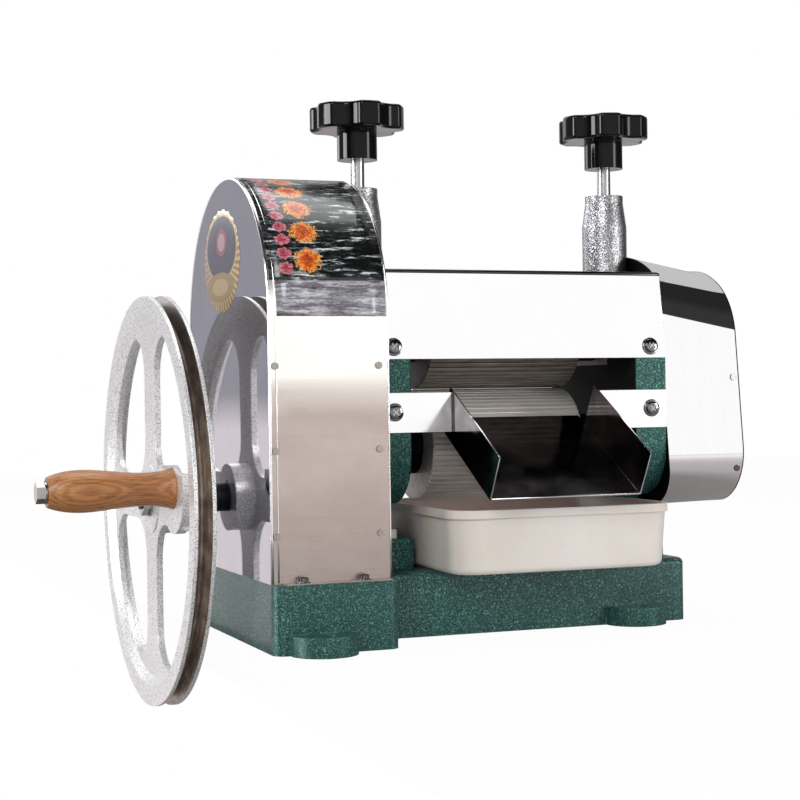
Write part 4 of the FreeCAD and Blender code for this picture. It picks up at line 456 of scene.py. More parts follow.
def dark_metal(name, dark, light, rough):
    """Turned metal under oil and grime; in near-black colours it stands for painted shade."""
    g = Graph(name, Metallic=0.85)
    grime = g.noise(60.0, 5.0, 0.65)
    turned = g.noise(800.0, 3.0, 0.7, (1, 0.05, 0.05))
    colour = g.ramp(g.blend(grime, 0.6, turned, 0.4), (0.35, paint(dark)), (0.65, paint(light)))
    normal = g.bump(turned, 0.1, 0.0002, g.soft_edges(0.0005))
    return g.set(Base_Color=colour, Roughness=g.spread(grime, 0.3, 0.7, rough * 0.8, rough * 1.3),
                 Normal=normal)


def rivet_metal():
    """Dull heads with a dark rim where they meet the sheet."""
    g = Graph("rivet_steel", Metallic=0.8, Roughness=0.35)
    _, face_y, _ = g.split(g.flat_way())
    crown = g.spread(g.math("ABSOLUTE", face_y), 0.93, 0.97)
    face = g.ramp(g.noise(400.0, 3.0), (0.3, paint("a39a96")), (0.7, paint("b9b0ab")))
    return g.set(Base_Color=g.mix(crown, paint("2e2c2d"), face), Normal=g.soft_edges(0.0003))


def frame_green(name, shaded_inside):
    """Green hammer-finish paint; shaded_inside paints the faces toward the rollers near-black above the tray,
    as painted shade.
    """
    g = Graph(name, Metallic=0.2, Coat_Weight=0.04 if shaded_inside else 0.3, Coat_Roughness=0.2,
              Specular_IOR_Level=0.3 if shaded_inside else 0.5)
    cells = g.cells(780.0)
    fine = g.noise(900.0, 4.0, 0.75)
    fleck = g.blend(cells, 0.4, fine, 0.9)
    colour = g.ramp(fleck, (0.46, paint("051d1a")), (0.58, paint("143f3c")), (0.72, paint("2c625b")),
                    (0.9, paint("7fb0a7")))
    colour = g.mix(g.spread(g.noise(12.0, 2.0), 0.35, 0.75, 0.0, 0.3), colour, paint("17403a"))
    colour = g.mix(g.math("MULTIPLY", g.worn_edges(), 0.55), colour, paint("9cc4b9"))
    rough = g.spread(fleck, 0.4, 0.9, 0.45, 0.28)
    if shaded_inside:
        # painted shade: the faces toward the rollers, above the tray, go near-black and rough (the mask below
        # is this shade)
        x, _, z = g.axes()
        inner = g.spread(g.math("ABSOLUTE", x), CHEEK_INSIDE + 0.0001, CHEEK_INSIDE + 0.0015, 0.96, 0.0)
        film = g.math("MULTIPLY", inner, g.spread(z, SHADE_FOOT - 0.002, SHADE_FOOT + 0.002))
        colour = g.mix(film, colour, paint("060707"))
        rough = g.math("MAXIMUM", rough, g.math("MULTIPLY", film, 0.95))
    height = g.math("ADD", cells, g.math("MULTIPLY", fine, 0.5))
    normal = g.bump(height, 0.2, 0.0005, g.soft_edges(0.0012))
    return g.set(Base_Color=colour, Roughness=rough, Normal=normal)


def drawn_sheet_way(g, x, y, z):
    """The direction of the right cover's sheet, drawn evenly over its eave and its low corner."""
    along = g.spread(x, CAP_LOW.x + 0.0010, CAP_HIGH.x - 0.0005)
    eave = g.math("SUBTRACT", EAVE_HEIGHT, g.math("MULTIPLY", along, EAVE_DROP))
    bend_height = g.math("ADD", BEND_HEIGHT, g.math("MULTIPLY", along, BEND_GROWTH))
    above_eave = g.math("DIVIDE", g.math("SUBTRACT", z, eave), bend_height)
    up = g.spread(above_eave, -0.252, 1.095, 0.035, 0.985)
    down = g.spread(z, CAP_LOW.z, CAP_LOW.z + CORNER_HEIGHT, 1.0, 0.0)
    rise = g.math("SUBTRACT", up, down)
    out = g.math("SQRT", g.math("SUBTRACT", 1.0, g.math("MULTIPLY", rise, rise)))
    side = g.spread(y, -0.03, 0.03, -1.0, 1.0)
    return g.add("ShaderNodeCombineXYZ", X=0.0, Y=g.math("MULTIPLY", out, side), Z=rise).outputs["Vector"]


def cap_sheet():
    """Mirror sheet with fine grain; its edges against the frame and at the end are black."""
    g = Graph("cap_sheet", Metallic=1.0)
    lines = g.noise(900.0, 4.0, 0.75, (1, 0.02, 0.02))
    smear = g.noise(22.0, 3.0, 0.6, warp=0.4)
    colour = g.mix(g.spread(lines, 0.3, 0.75, 0.06, 0.0), paint("fefdfe"), paint("8c8a8c"))
    x, y, z = g.axes()
    edges = g.math("MAXIMUM", g.math("LESS_THAN", x, CAP_LOW.x + 0.0011),
                   g.math("GREATER_THAN", x, CAP_HIGH.x - 0.0011))
    colour = g.mix(edges, colour, paint("0b0b0c"))
    rough = g.math("MAXIMUM", g.spread(smear, 0.3, 0.75, 0.022, 0.04), g.math("MULTIPLY", edges, 0.5))
    drawn = drawn_sheet_way(g, x, y, z)
    outside = g.math("GREATER_THAN", g.dot(drawn, g.flat_way()), 0.6)
    waves = g.bump(g.noise(9.0, 1.0), 0.08, 0.004, g.mix(outside, g.soft_edges(0.0005), drawn))
    return g.set(Base_Color=colour, Roughness=rough, Normal=g.bump(lines, 0.01, 0.0002, waves))


def chute_metal():
    """Bright mounting strips; the trough between them is darker, and a thin band just outside its walls is
    painted dark as shade.
    """
    g = Graph("chute_sheet", Metallic=1.0)
    lines = g.noise(900.0, 4.0, 0.75, (1, 0.02, 1))
    smear = g.noise(30.0, 4.0, 0.6, warp=0.6)
    x, _, _ = g.axes()
    aside = g.math("ABSOLUTE", x)
    trough_tone = g.ramp(smear, (0.3, paint("6b666a")), (0.55, paint("8c878a")), (0.8, paint("aaa5a8")))
    trough_tone = g.mix(g.spread(lines, 0.3, 0.75, 0.12, 0.0), trough_tone, paint("5c5a5c"))
    # painted shade: a thin band just outside the trough walls, on their outer faces, is dark
    outer = g.spread(aside, CHUTE_HALF_WIDTH + 0.0008, CHUTE_HALF_WIDTH + 0.0010)
    strip = g.spread(aside, CHUTE_HALF_WIDTH + 0.0013, CHUTE_HALF_WIDTH + 0.0016)
    colour = g.mix(strip, g.mix(outer, trough_tone, paint("3b373a")), paint("ffffff"))
    waves = g.bump(g.noise(9.0, 1.0), 0.10, 0.004, g.soft_edges(0.0004))
    return g.set(Base_Color=colour, Roughness=g.spread(smear, 0.3, 0.75, 0.06, 0.17),
                 Normal=g.bump(lines, 0.02, 0.0002, waves))


# What a grain's coordinates are multiplied by along X, Y and Z; a small number draws it out that way.
ALONG_X = (0.02, 1, 1)
NEARLY_ALONG_X = (0.05, 1, 1)
ROUND_X = (1, 0.05, 0.05)
UP_FINE = (1, 1, 0.02)
UP = (1, 1, 0.03)
UP_COARSE = (1, 1, 0.05)

green = frame_green("green_hammer", shaded_inside=False)
cheek_green = frame_green("green_cheek", shaded_inside=True)
silver = silver_paint()
roller_steel = roller_metal()
black_plastic = knob_plastic()
rivet_steel = rivet_metal()
mirror = steel("mirror_sheet", "ffffff", "fcfbfc", rough=0.03, edge=0.0005, grain=ALONG_X, show=0.02,
               scratch=0.004, wave=0.03)
side_mirror = steel("side_plate_sheet", "c9c7cd", "bfbcc5", rough=0.026, edge=0.0005, grain=UP_FINE,
                    show=0.10, scratch=0.006, wave=0.05)
machined = steel("machined_steel", "c4c2c2", "a5a19f", rough=0.26, edge=0.0004, grain=ROUND_X, scratch=0.08)
rod_steel = steel("turned_rod", "b9b9bb", "8f8f92", rough=0.22, edge=0.0004, grain=UP, scratch=0.05)
zinc = steel("zinc_fastener", "c3c2c0", "8f8d89", rough=0.2, edge=0.0003, scratch=0.06)
# painted reflection: the screws' chrome is darkened, with darker patches, to show the dark surroundings that
# they reflect
chrome = steel("chromed_screw", "8f8e90", "3a393b", rough=0.1, edge=0.0001)
# painted reflection: the hood's folded top edges are dark steel, standing in for the dark line that the fold
# reflects
fold_dark_reflection = steel("hood_fold", "454347", "29282b", rough=0.14, edge=0.0003, grain=NEARLY_ALONG_X,
                   scratch=0.03)
bead_steel = steel("folded_edge", "fafafa", "e6e4e6", rough=0.14, edge=0.0002, grain=UP_COARSE, show=0.04)
gear_iron = dark_metal("gear_iron", "3c3935", "7d776f", rough=0.4)
blackened = dark_metal("blackened_steel", "1c1c1f", "3a3a3e", rough=0.45)
# painted shade: the roller spacers, in the dark space beside the roller ends, are near-black
spacer_shade_black = dark_metal("spacer_shade_black", "060607", "121214", rough=0.6)
bronze = dark_metal("bronze_bush", "7a5326", "b98a4a", rough=0.32)

NODE_FINISHES = (
    (green, ("base_casting", "drive_bracket")),
    (cheek_green, ("left_side_frame", "right_side_frame")),
    (silver, ("left_screw_tower", "right_screw_tower")),
    (wheel_metal(), ("handwheel",)),
    (wood(), ("handle_grip",)),
    (black_plastic, ("left_star_knob", "right_star_knob")),
    (tray_plastic(), ("juice_tray",)),
    (roller_steel, ("upper_roller", "lower_roller")),
    (mirror, ("top_hood", "right_cover_end_plate", "gear_cover_back_plate")),
    (cap_sheet(), ("right_cover",)),
    (side_mirror, ("gear_cover_side_plate",)),
    (band_steel(), ("gear_cover_band",)),
    (chute_metal(), ("discharge_chute",)),
    (rivet_steel, ("gear_cover_rivets", "right_cover_rivets")),
    (zinc, ("frame_bolts", "tower_bolts", "panel_screws", "gear_cover_screws", "right_cover_screws",
            "bracket_bolts", "handle_bolt", "handle_nut", "wheel_nut", "wheel_washer",
            "upper_shaft_end_bolts", "lower_shaft_end_bolt", "idler_retainer")),
    (rod_steel, ("left_pressure_screw", "right_pressure_screw")),
    (machined, ("upper_roller_shaft", "lower_roller_shaft", "idler_axle", "idler_spacer",
                "upper_shaft_keys", "lower_shaft_key", "handwheel_keys")),
    (blackened, ("handwheel_shaft", "shaft_collar")),
    (spacer_shade_black, ("upper_roller_spacers", "lower_roller_spacers")),
    (gear_iron, ("main_gear", "upper_coupling_gear", "lower_coupling_gear", "idler_pinion", "idler_gear",
                 "drive_pinion", "upper_bearing_blocks")),
    (bronze, ("upper_bushes", "lower_bushes", "drive_bushes", "idler_bush")),
)


def dress_nodes():
    """Every solid of the frame in its finish."""
    finishes = {name: finish for finish, names in NODE_FINISHES for name in names}
    for name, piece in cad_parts.items():
        for slot in piece.material_slots:
            slot.material = finishes[name]


# ---- detail pieces ---------------------------------------------------------------------

def add_piece(name, points, faces, material, body, slot, smooth=True):
    """A mesh piece in the finish given that rides on a body; the slot given is not used."""
    mesh = bpy.data.meshes.new(name)
    mesh.from_pydata([tuple(point) for point in points], [], faces)
    work = bmesh.new()
    work.from_mesh(mesh)
    bmesh.ops.remove_doubles(work, verts=work.verts, dist=1e-7)
    bmesh.ops.recalc_face_normals(work, faces=work.faces)
    work.to_mesh(mesh)
    work.free()
    mesh.polygons.foreach_set("use_smooth", [smooth] * len(mesh.polygons))
    mesh.materials.append(material)
    piece = bpy.data.objects.new(name, mesh)
    scene.collection.objects.link(piece)
    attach(piece, body)
    return piece


def joined(*meshes):
    """The points and faces of several meshes as one."""
    points, faces = [], []
    for more_points, more_faces in meshes:
        faces += [tuple(i + len(points) for i in face) for face in more_faces]
        points += more_points
    return points, faces


def ring_faces(low, high, sides):
    """Quads between two rings of points, which start at low and at high."""
    return [(low + k, low + (k + 1) % sides, high + (k + 1) % sides, high + k) for k in range(sides)]


def dish_faces(rings, sides):
    """A fan round the first point, then quads between the rings of points that follow it."""
    faces = [(0, 1 + k, 1 + (k + 1) % sides) for k in range(sides)]
    for ring in range(rings - 1):
        faces += ring_faces(1 + ring * sides, 1 + (ring + 1) * sides, sides)
    return faces


def outward(first, second, k, sides):
    """The k-th of evenly spaced directions in the plane of first and second."""
    angle = 2 * math.pi * k / sides
    return first * math.cos(angle) + second * math.sin(angle)


def sweep(path, radius, sides=10):
    """A round bead along a path, closed at both ends."""
    points, faces = [], []
    side = None
    for i, here in enumerate(path):
        ahead = (path[min(i + 1, len(path) - 1)] - path[max(i - 1, 0)]).normalized()
        if side is None:
            side = ahead.orthogonal().normalized()
        side = (side - ahead * side.dot(ahead)).normalized()
        other = ahead.cross(side)
        points += [here + outward(side, other, k, sides) * radius for k in range(sides)]
    for i in range(len(path) - 1):
        faces += ring_faces(i * sides, (i + 1) * sides, sides)
    faces.append(tuple(range(sides)))
    faces.append(tuple(range((len(path) - 1) * sides, len(path) * sides)))
    return points, faces


def arch_path(x, half, bottom):
    """The cover's outline across X: up one side, round the arch and down the other."""
    straight, bend = 6, 48
    heights = [bottom + (ARCH_HEIGHT - bottom) * i / straight for i in range(straight)]
    turns = [math.pi * i / bend for i in range(bend + 1)]
    return ([Vector((x, -half, z)) for z in heights]
            + [Vector((x, -half * math.cos(turn), ARCH_HEIGHT + half * math.sin(turn))) for turn in turns]
            + [Vector((x, half, z)) for z in reversed(heights)])


def add_cover_beads():
    """The folded-over edges where the cover's plates meet its band, and the crease beside the left one."""
    for name, x, half, bottom, radius in (
            ("cover_left_bead", COVER_LEFT + 0.0009, ARCH_RADIUS - 0.0007, COVER_FOOT + 0.0005, 0.0013),
            ("cover_band_crease", COVER_LEFT + 0.0060, ARCH_RADIUS - 0.0002, COVER_FOOT + 0.0015, 0.0007),
            ("cover_right_bead", COVER_RIGHT - 0.0008, ARCH_RADIUS - 0.0003, COVER_FOOT + 0.0005, 0.0008)):
        bead = sweep(arch_path(x, half, bottom), radius)
        add_piece(name, *bead, bead_steel, "frame", "brushed_stainless")


def add_hood_folds():
    """The hood's long top edges, folded to a small radius and dipping a little at the right end."""
    ridge = HOOD_HIGH.z - 0.0013
    edge = [Vector((x, -HOOD_FOLD_DEPTH, ridge))
            for x in (HOOD_LOW.x + 0.0002, HOOD_LOW.x + 0.0018, 0.0, HOOD_HIGH.x - 0.0020)]
    edge.append(Vector((HOOD_HIGH.x - 0.0002, 0.0003 - HOOD_FOLD_DEPTH, ridge - 0.0006)))
    front = sweep(edge, HOOD_FOLD_RADIUS, 16)
    back = sweep([Vector((p.x, -p.y, p.z)) for p in edge], HOOD_FOLD_RADIUS, 16)
    add_piece("hood_folds", *joined(front, back), fold_dark_reflection, "frame", "mirror_stainless")


def film_print():
    """A generic print: dark film with pale stalk-like streaks and two columns of plain lozenges."""
    g = Graph("printed_film", Coat_Weight=0.4, Coat_Roughness=0.08)
    x, y, z = g.axes((1, 1, 1), (0, 0, -ARCH_HEIGHT))
    along = g.math("MULTIPLY", g.math("ARCTAN2", z, g.math("MULTIPLY", y, -1.0)), ARCH_RADIUS)
    flat = g.add("ShaderNodeCombineXYZ", X=x, Y=along).outputs["Vector"]

    def streaks(scale, stretch, detail, warp):
        """Noise over the film as if it lay flat."""
        spot = g.add("ShaderNodeMapping", Vector=flat, Scale=stretch).outputs["Vector"]
        return g.noise(scale, detail, 0.6, warp=warp, at=spot)

    stalks = streaks(230.0, (0.13, 1, 1), 5.0, 0.9)
    leaves = streaks(430.0, (0.3, 1, 1), 4.0, 1.6)
    mixed = g.blend(stalks, 0.7, leaves, 0.3)
    dark = g.ramp(mixed, (0.47, paint("060808")), (0.53, paint("1f2626")), (0.57, paint("6d7578")),
                  (0.62, paint("d9dcde")))
    pale = g.ramp(mixed, (0.36, paint("3f3d43")), (0.48, paint("77757c")), (0.62, paint("cfcdd4")))
    pale_end, column_start = 0.030, 0.034
    colour = g.mix(g.spread(along, pale_end - 0.0015, pale_end + 0.0015), pale, dark)

    def lozenges(middle, half_width, half_height, pitch):
        """How deep inside a lozenge of the column a point is, from 0 at its edge to 1 at its middle."""
        step = g.math("FRACT", g.math("DIVIDE", g.math("SUBTRACT", along, column_start), pitch))
        up = g.math("MULTIPLY", g.math("ABSOLUTE", g.math("SUBTRACT", step, 0.5)), pitch / half_height)
        aside = g.math("DIVIDE", g.math("ABSOLUTE", g.math("SUBTRACT", x, middle)), half_width)
        bulge = g.math("ADD", g.math("MULTIPLY", up, up), g.math("POWER", aside, 1.4))
        below = g.math("MULTIPLY", g.math("LESS_THAN", along, column_start), 4.0)
        return g.math("SUBTRACT", g.math("SUBTRACT", 1.0, bulge), below)

    torn = g.spread(streaks(420.0, (1, 1, 1), 4.0, 0.6), 0.35, 0.65, -0.55, 0.35)
    orange = g.math("ADD", lozenges(COVER_LEFT + 0.0365, 0.0120, 0.0112, 0.0265), torn)
    fill = g.ramp(orange, (0.0, paint("f7cf7a")), (0.2, paint("f09a3a")), (0.45, paint("d9641f")),
                  (0.9, paint("a63a1a")))
    colour = g.mix(g.math("GREATER_THAN", orange, 0.05), colour, fill)
    pink = g.math("ADD", lozenges(COVER_LEFT + 0.0173, 0.0064, 0.0056, 0.0128), torn)
    fill = g.ramp(pink, (0.0, paint("efb6bd")), (0.3, paint("c9606f")), (0.8, paint("8f3546")))
    colour = g.mix(g.math("GREATER_THAN", pink, 0.05), colour, fill)
    rubbed = g.spread(streaks(60.0, (1, 1, 1), 5.0, 0.0), 0.62, 0.75, 0.0, 0.5)
    return g.set(Base_Color=g.mix(rubbed, colour, paint("6d7072")),
                 Roughness=g.spread(leaves, 0.3, 0.7, 0.2, 0.4), Normal=g.soft_edges(0.0002))


def film_sheet(left, start, end, rows, columns=6):
    """A strip of film round the arch, from one turn to another, as a grid."""
    radius = ARCH_RADIUS + FILM_PROUD
    points, faces = [], []
    for i in range(rows + 1):
        turn = start + (end - start) * i / rows
        for k in range(columns + 1):
            x = left + (FILM_RIGHT - left) * k / columns
            points.append((x, -radius * math.cos(turn), ARCH_HEIGHT + radius * math.sin(turn)))
    for i in range(rows):
        for k in range(columns):
            low = i * (columns + 1) + k
            faces.append((low, low + 1, low + columns + 2, low + columns + 1))
    return points, faces


def add_arch_film():
    """The printed film over the front of the arch; its pale lower part starts further in."""
    foot = film_sheet(FILM_FOOT_LEFT, FILM_START_TURN, FILM_FOOT_TURN, 10)
    main = film_sheet(FILM_LEFT, FILM_FOOT_TURN, FILM_END_TURN, 60)
    piece = add_piece("arch_film", *joined(foot, main), film_print(), "frame", "brushed_stainless")
    skin = piece.modifiers.new("thickness", "SOLIDIFY")
    skin.thickness = 0.0002
    skin.offset = -1


def badge_print():
    """A plain rosette: gilt rays round a dark oval, over a gilt banner."""
    g = Graph("badge_print", Coat_Weight=0.5, Coat_Roughness=0.08)

    def oval(middle, half):
        """Y and Z in half widths from an oval's middle, and their length, which is 1 on its edge."""
        _, y, z = g.axes((1, 1 / half[0], 1 / half[1]), (0, -middle[0] / half[0], -middle[1] / half[1]))
        return y, z, g.length(y, z)

    y, z, _ = oval(BADGE_MIDDLE, BADGE_HALF)
    rays = g.spread(g.math("SINE", g.math("MULTIPLY", g.math("ARCTAN2", z, y), BADGE_RAYS)), -0.6, 0.6)
    colour = g.mix(rays, paint("a8854a"), paint("e3c98c"))
    colour = g.mix(g.spread(y, 0.2, 0.9, 0.0, 0.5), colour, paint("c58f86"))
    rim = oval((0.011, 0.329), (0.047, 0.0275))[2]
    heart = oval((0.011, 0.334), (0.0165, 0.0115))[2]
    banner = oval((0.016, 0.296), (0.043, 0.0125))[2]
    for reach, outside, inside, tone in (
            (rim, 1.06, 1.02, "d8bd7c"), (rim, 1.0, 0.97, "37304a"), (heart, 1.04, 0.98, "a04a5a"),
            (heart, 0.7, 0.64, "c9a0a8"), (banner, 1.03, 0.98, "b08f4f"), (banner, 0.62, 0.56, "cfb277")):
        colour = g.mix(g.spread(reach, outside, inside), colour, paint(tone))
    colour = g.mix(g.spread(g.noise(260.0, 4.0, 0.7), 0.55, 0.75, 0.0, 0.3), colour, paint("8a7c74"))
    return g.set(Base_Color=colour, Metallic=0.3, Roughness=0.3, Normal=g.soft_edges(0.0002))


def add_badge():
    """A scalloped oval badge on the side plate, thinned at its edge."""
    middle_y, middle_z = BADGE_MIDDLE
    half_y, half_z = BADGE_HALF
    proud, edge_proud = 0.0006, 0.0001
    scallops, scallop_depth, sides = BADGE_RAYS // 2, 0.018, 3 * BADGE_RAYS
    points = [(COVER_LEFT - proud, middle_y, middle_z)]
    rings = ((0.5, 0.0, proud), (0.9, scallop_depth, proud), (1.0, scallop_depth, edge_proud))
    for share, depth, out in rings:
        for k in range(sides):
            angle = 2 * math.pi * k / sides
            reach = share * (1 + depth * math.cos(scallops * angle))
            points.append((COVER_LEFT - out, middle_y + half_y * reach * math.cos(angle),
                           middle_z + half_z * reach * math.sin(angle)))
    add_piece("side_badge", points, dish_faces(len(rings), sides), badge_print(), "frame", "mirror_stainless")


def screw_cap(centre, way, radius):
    """A domed head with a cross recess, set over a plain one; its skirt runs down to the sheet."""
    reach = radius + 0.0001
    crown, recess, skirt = 0.0013, 0.0019, 0.0030
    arm_half_width, arm_reach = 0.15, 0.62
    rings, sides = 14, 56
    first = way.orthogonal().normalized()
    second = way.cross(first)
    points = [centre + way * (crown - recess)]
    for i in range(1, rings + 1):
        share = i / rings
        for k in range(sides):
            angle = 2 * math.pi * k / sides
            near, far = sorted((share * abs(math.cos(angle)), share * abs(math.sin(angle))))
            height = crown * math.sqrt(1 - 0.92 * share ** 2)
            if near < arm_half_width and far < arm_reach:
                height -= recess
            points.append(centre + outward(first, second, k, sides) * share * reach + way * height)
    points += [centre + outward(first, second, k, sides) * reach - way * skirt for k in range(sides)]
    return points, dish_faces(rings + 1, sides)


def washer(centre, way, inner, outer):
    """A thin washer with rounded rims, its lower face at the centre given."""
    thick, sides = 0.0011, 40
    first = way.orthogonal().normalized()
    second = way.cross(first)
    profile = ((inner, 0), (inner, thick * 0.8), (inner + thick * 0.3, thick), (outer - thick * 0.4, thick),
               (outer, thick * 0.6), (outer, 0))
    points = [centre + outward(first, second, k, sides) * reach + way * height
              for reach, height in profile for k in range(sides)]
    faces = []
    for ring in range(len(profile)):
        faces += ring_faces(ring * sides, (ring + 1) % len(profile) * sides, sides)
    return points, faces


def add_screw_heads():
    """Cross-recessed heads and washers on the chute's strips, the hood and the cover's feet."""
    hood_proud, washer_drop = 0.0035, 0.0034
    heads = []
    for x in (-PANEL_SCREW_X, PANEL_SCREW_X):
        heads.append((Vector((x, *STRIP_SCREW)), Vector((0, -1, 0)), LARGE_SCREW))
        for side in (-1, 1):
            depth, height = HOOD_SCREW
            away = Vector((0, side * math.cos(HOOD_LEAN), math.sin(HOOD_LEAN)))
            heads.append((Vector((x, side * depth, height)) + away * hood_proud, away, LARGE_SCREW))
    for x in (FOOT_SCREW_LOW.x + SMALL_SCREW[0], FOOT_SCREW_HIGH.x - SMALL_SCREW[0]):
        for side in (-1, 1):
            top = Vector((x, side * FOOT_SCREW_DEPTH, FOOT_SCREW_HIGH.z))
            heads.append((top, Vector((0, 0, 1)), SMALL_SCREW))
    caps = [screw_cap(top, way, radius) for top, way, (radius, _) in heads]
    add_piece("screw_heads", *joined(*caps), chrome, "frame", "zinc_fastener", smooth=False)
    rings = [washer(top - way * washer_drop, way, radius - 0.0002, radius + rim)
             for top, way, (radius, rim) in heads]
    add_piece("screw_washers", *joined(*rings), chrome, "frame", "zinc_fastener")


def chute_point(x, along, above):
    """A point on the chute by its reach up the slope and its height square to it."""
    return Vector((x, CHUTE_LIP_DEPTH + along * math.cos(CHUTE_SLOPE) - above * math.sin(CHUTE_SLOPE),
                   CHUTE_LIP_HEIGHT + along * math.sin(CHUTE_SLOPE) + above * math.cos(CHUTE_SLOPE)))


def add_chute_lips():
    """The trough's edges, folded over into thin bright lips."""
    wall = CHUTE_HALF_WIDTH - 0.0006
    top = CHUTE_WALL_HEIGHT - 0.0002
    start, floor = 0.0004, -0.0004
    half = [(wall, CHUTE_WALL_LENGTH, top), (wall, CHUTE_WALL_LENGTH / 2, top), (wall, start + 0.0008, top),
            (wall, start, top - 0.0012), (wall, start, 0.018), (wall, start, floor + 0.0010),
            (CHUTE_HALF_WIDTH - 0.0020, start, floor)]
    path = [chute_point(-x, along, above) for x, along, above in half]
    path.append(chute_point(0.0, start, floor))
    path += [chute_point(x, along, above) for x, along, above in reversed(half)]
    add_piece("chute_lips", *sweep(path, 0.00062, 8), bead_steel, "frame", "mirror_stainless")


def add_ribbed_sleeves():
    """Each roller's ribbed skin, its crests sharp and chamfered at the ends, in the plain solid's place."""
    ribs, crest, valley, hub_radius = 60, 0.04892, 0.0471, 0.018
    chamfer, chamfer_length = 0.0009, 0.0010
    rib = ((-0.34, crest - 0.0003), (-0.22, crest), (0.22, crest), (0.34, crest - 0.0003), (0.42, valley),
           (0.58, valley))
    profile = [(reach, 2 * math.pi * (i + share) / ribs) for i in range(ribs) for share, reach in rib]
    sides = len(profile)
    end = ROLLER_HALF_LENGTH
    rings = ((-end, chamfer), (chamfer_length - end, 0.0), (end - chamfer_length, 0.0), (end, chamfer))
    for name, height in (("upper_roller", UPPER_ROLLER_HEIGHT), ("lower_roller", LOWER_ROLLER_HEIGHT)):
        points, faces = [], []
        for x, drop in rings:
            points += [(x, (reach - drop) * math.cos(angle), height + (reach - drop) * math.sin(angle))
                       for reach, angle in profile]
        for ring in range(len(rings) - 1):
            faces += ring_faces(ring * sides, (ring + 1) * sides, sides)
        for x, ring in ((-end, 0), (end, len(rings) - 1)):
            hub = len(points)
            points += [(x, hub_radius * math.cos(angle), height + hub_radius * math.sin(angle))
                       for _, angle in profile]
            faces += ring_faces(ring * sides, hub, sides)
        piece = add_piece(name + "_skin", points, faces, roller_steel, name + "_set", "roller_steel",
                          smooth=False)
        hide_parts(name)


# ---- light, floor and background -------------------------------------------------------

def lamp(name, spot, width, height, power):
    """A white rectangular lamp, its power in watts, aimed at the middle of the object."""
    data = bpy.data.lights.new(name, "AREA")
    data.shape = "RECTANGLE"
    data.size = width
    data.size_y = height
    data.energy = power
    holder = bpy.data.objects.new(name, data)
    holder.location = spot
    holder.rotation_euler = (OBJECT_MIDDLE - Vector(spot)).to_track_quat("-Z", "Y").to_euler()
    scene.collection.objects.link(holder)


def reflected_room(w, direction):
    """What mirrors show: pale walls under a dark ceiling, dark screens at the sides and a streak of light."""
    x, y, z = w.split(direction)

    # A grey floor, a white wall, and a dark ceiling that starts higher toward the back.
    higher = w.spread(y, 0.1, 0.3, 0.0, 0.29)
    level = w.spread(w.math("SUBTRACT", z, higher), -1.0, 1.0)
    levels = ((0.0, 0.25), (0.38, 0.42), (0.47, 1.0), (0.688, 1.0), (0.695, 0.035), (0.985, 0.035),
              (0.995, 0.5))
    stops = [(spot, (grey, grey * (0.97 + 0.03 * grey), grey * (0.99 + 0.01 * grey), 1))
             for spot, grey in levels]
    room = w.ramp(level, *stops)

    # The wall is white in front and greyer round the sides, where dark screens stand.
    front = w.spread(w.dot(direction, (0.357, -0.934, 0.0)), 0.35, 0.7, 0.55, 1.0, smooth=True)
    screens = w.spread(w.math("ABSOLUTE", x), 0.8, 0.88, 1.0, 0.15)
    dimmed = w.add("ShaderNodeVectorMath", {"operation": "SCALE"}, Vector=room,
                   Scale=w.math("MULTIPLY", front, screens)).outputs["Vector"]

    # Behind and to the left there is a plain lilac-grey wall, pale below the horizon.
    behind = w.spread(w.math("SUBTRACT", y, x), 0.9, 1.1, smooth=True)
    above = w.math("MULTIPLY", behind, w.spread(z, -0.02, 0.0))
    walled = w.mix(above, w.mix(behind, dimmed, paint("fbf3f6")), paint("b0afb6"))

    # A tall soft light to the left, which glossy castings and knobs show as a streak.
    streak = w.spread(w.dot(direction, (-0.98, 0.06, 0.17)), 0.968, 0.98, smooth=True)
    return w.mix(streak, walled, (18.0, 18.0, 18.0, 1))


def studio_world():
    """White to the camera; a soft room in reflections; even light for everything else."""
    world = bpy.data.worlds.new("studio")
    scene.world = world
    world.use_nodes = True
    w = Nodes(world.node_tree)
    room = reflected_room(w, w.add("ShaderNodeTexCoord").outputs["Generated"])

    def background(colour, strength):
        """Light of one colour from everywhere."""
        return w.add("ShaderNodeBackground", Color=colour, Strength=strength).outputs[0]

    rays = w.add("ShaderNodeLightPath").outputs
    indirect = w.mix_shaders(rays["Is Glossy Ray"], background((1, 0.995, 0.985, 1), 0.42),
                             background(room, 1.0))
    direct = w.math("MAXIMUM", rays["Is Camera Ray"], rays["Is Transmission Ray"])
    final = w.mix_shaders(direct, indirect, background((1, 1, 1, 1), 1.0))
    w.add("ShaderNodeOutputWorld", Surface=final)


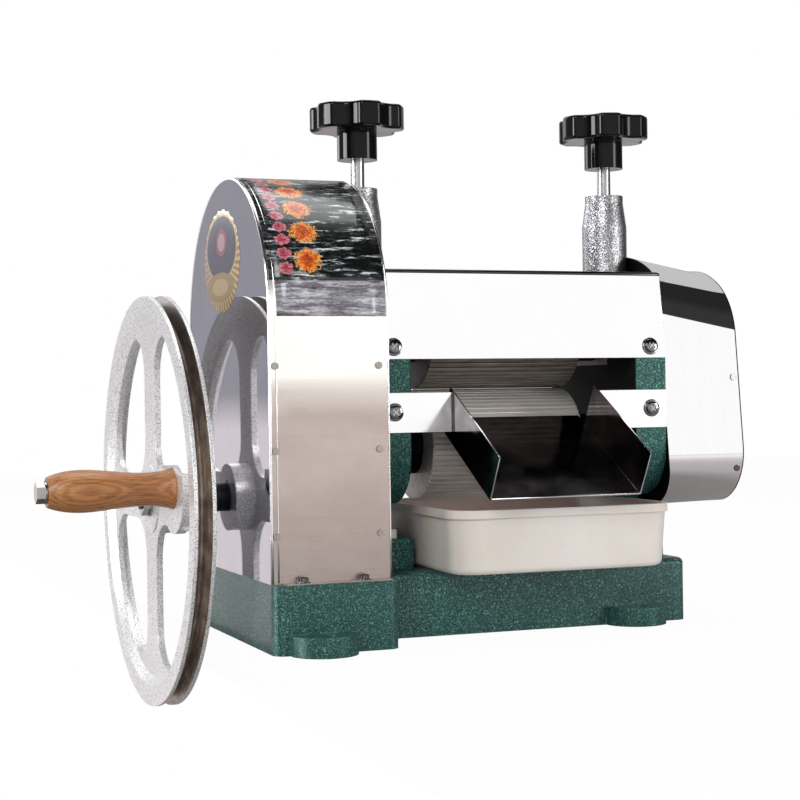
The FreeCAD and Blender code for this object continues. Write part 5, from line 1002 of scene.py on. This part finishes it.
def bench_finish():
    """Pale laminate that shows nearly white; in reflections it shows an emitted grey floor, with painted
    shadow dark close to the object.
    """
    g = Graph("pale_bench", Roughness=0.6)
    g.set(Base_Color=g.ramp(g.noise(30.0, 2.0), (0.3, paint("efeeec")), (0.7, paint("f4f3f1"))))
    rays = g.add("ShaderNodeLightPath").outputs
    x, y, _ = g.axes()
    # painted shadow: what reflections see of the floor is emitted, and darkens toward the object
    shade = g.ramp(g.math("DIVIDE", g.length(x, y), 2.0), (0.15, (0.13, 0.12, 0.12, 1)),
                   (0.19, (0.34, 0.31, 0.32, 1)), (0.3, (0.42, 0.39, 0.4, 1)), (0.6, (0.85, 0.8, 0.78, 1)))
    pale = g.mix(rays["Is Glossy Ray"], (1, 1, 1, 1), shade)
    glow = g.add("ShaderNodeEmission", Color=pale, Strength=1.0)
    seen = g.math("MULTIPLY", rays["Is Camera Ray"], 0.965)
    mirrored = g.math("MULTIPLY", rays["Is Glossy Ray"], 0.85)
    through = g.math("MULTIPLY", rays["Is Transmission Ray"], 0.9)
    share = g.math("MAXIMUM", seen, g.math("MAXIMUM", mirrored, through))
    g.link(g.mix_shaders(share, g.shader.outputs[0], glow.outputs[0]), g.out.inputs["Surface"])
    return g.material


def add_bench():
    """A plain pale bench top; its left edge stops short of the handwheel, which hangs below it."""
    left, reach, thick = WHEEL_HIGH.x + 0.010, 3.0, 0.03
    corners = ((left, -reach), (reach, -reach), (reach, reach), (left, reach))
    mesh = bpy.data.meshes.new("bench_top")
    mesh.from_pydata([(x, y, z) for z in (0, -thick) for x, y in corners], [],
                     [(0, 1, 2, 3), (7, 6, 5, 4), (4, 5, 1, 0), (5, 6, 2, 1), (6, 7, 3, 2), (7, 4, 0, 3)])
    bench = bpy.data.objects.new("bench_top", mesh)
    bench.location.z = -0.0002
    scene.collection.objects.link(bench)
    bench.data.materials.append(bench_finish())


add_camera()
dress_nodes()
add_cover_beads()
add_arch_film()
add_badge()
add_screw_heads()
add_chute_lips()
add_ribbed_sleeves()
add_hood_folds()
studio_world()
add_bench()
lamp("key", (-1.5, -1.9, 1.5), 0.9, 1.1, 30)
lamp("fill", (1.5, -1.5, 0.5), 0.5, 0.7, 10)
lamp("top", (0.1, 0.4, 1.9), 1.4, 1.0, 14)
lamp("back", (-0.9, 1.7, 1.1), 0.9, 1.0, 10)
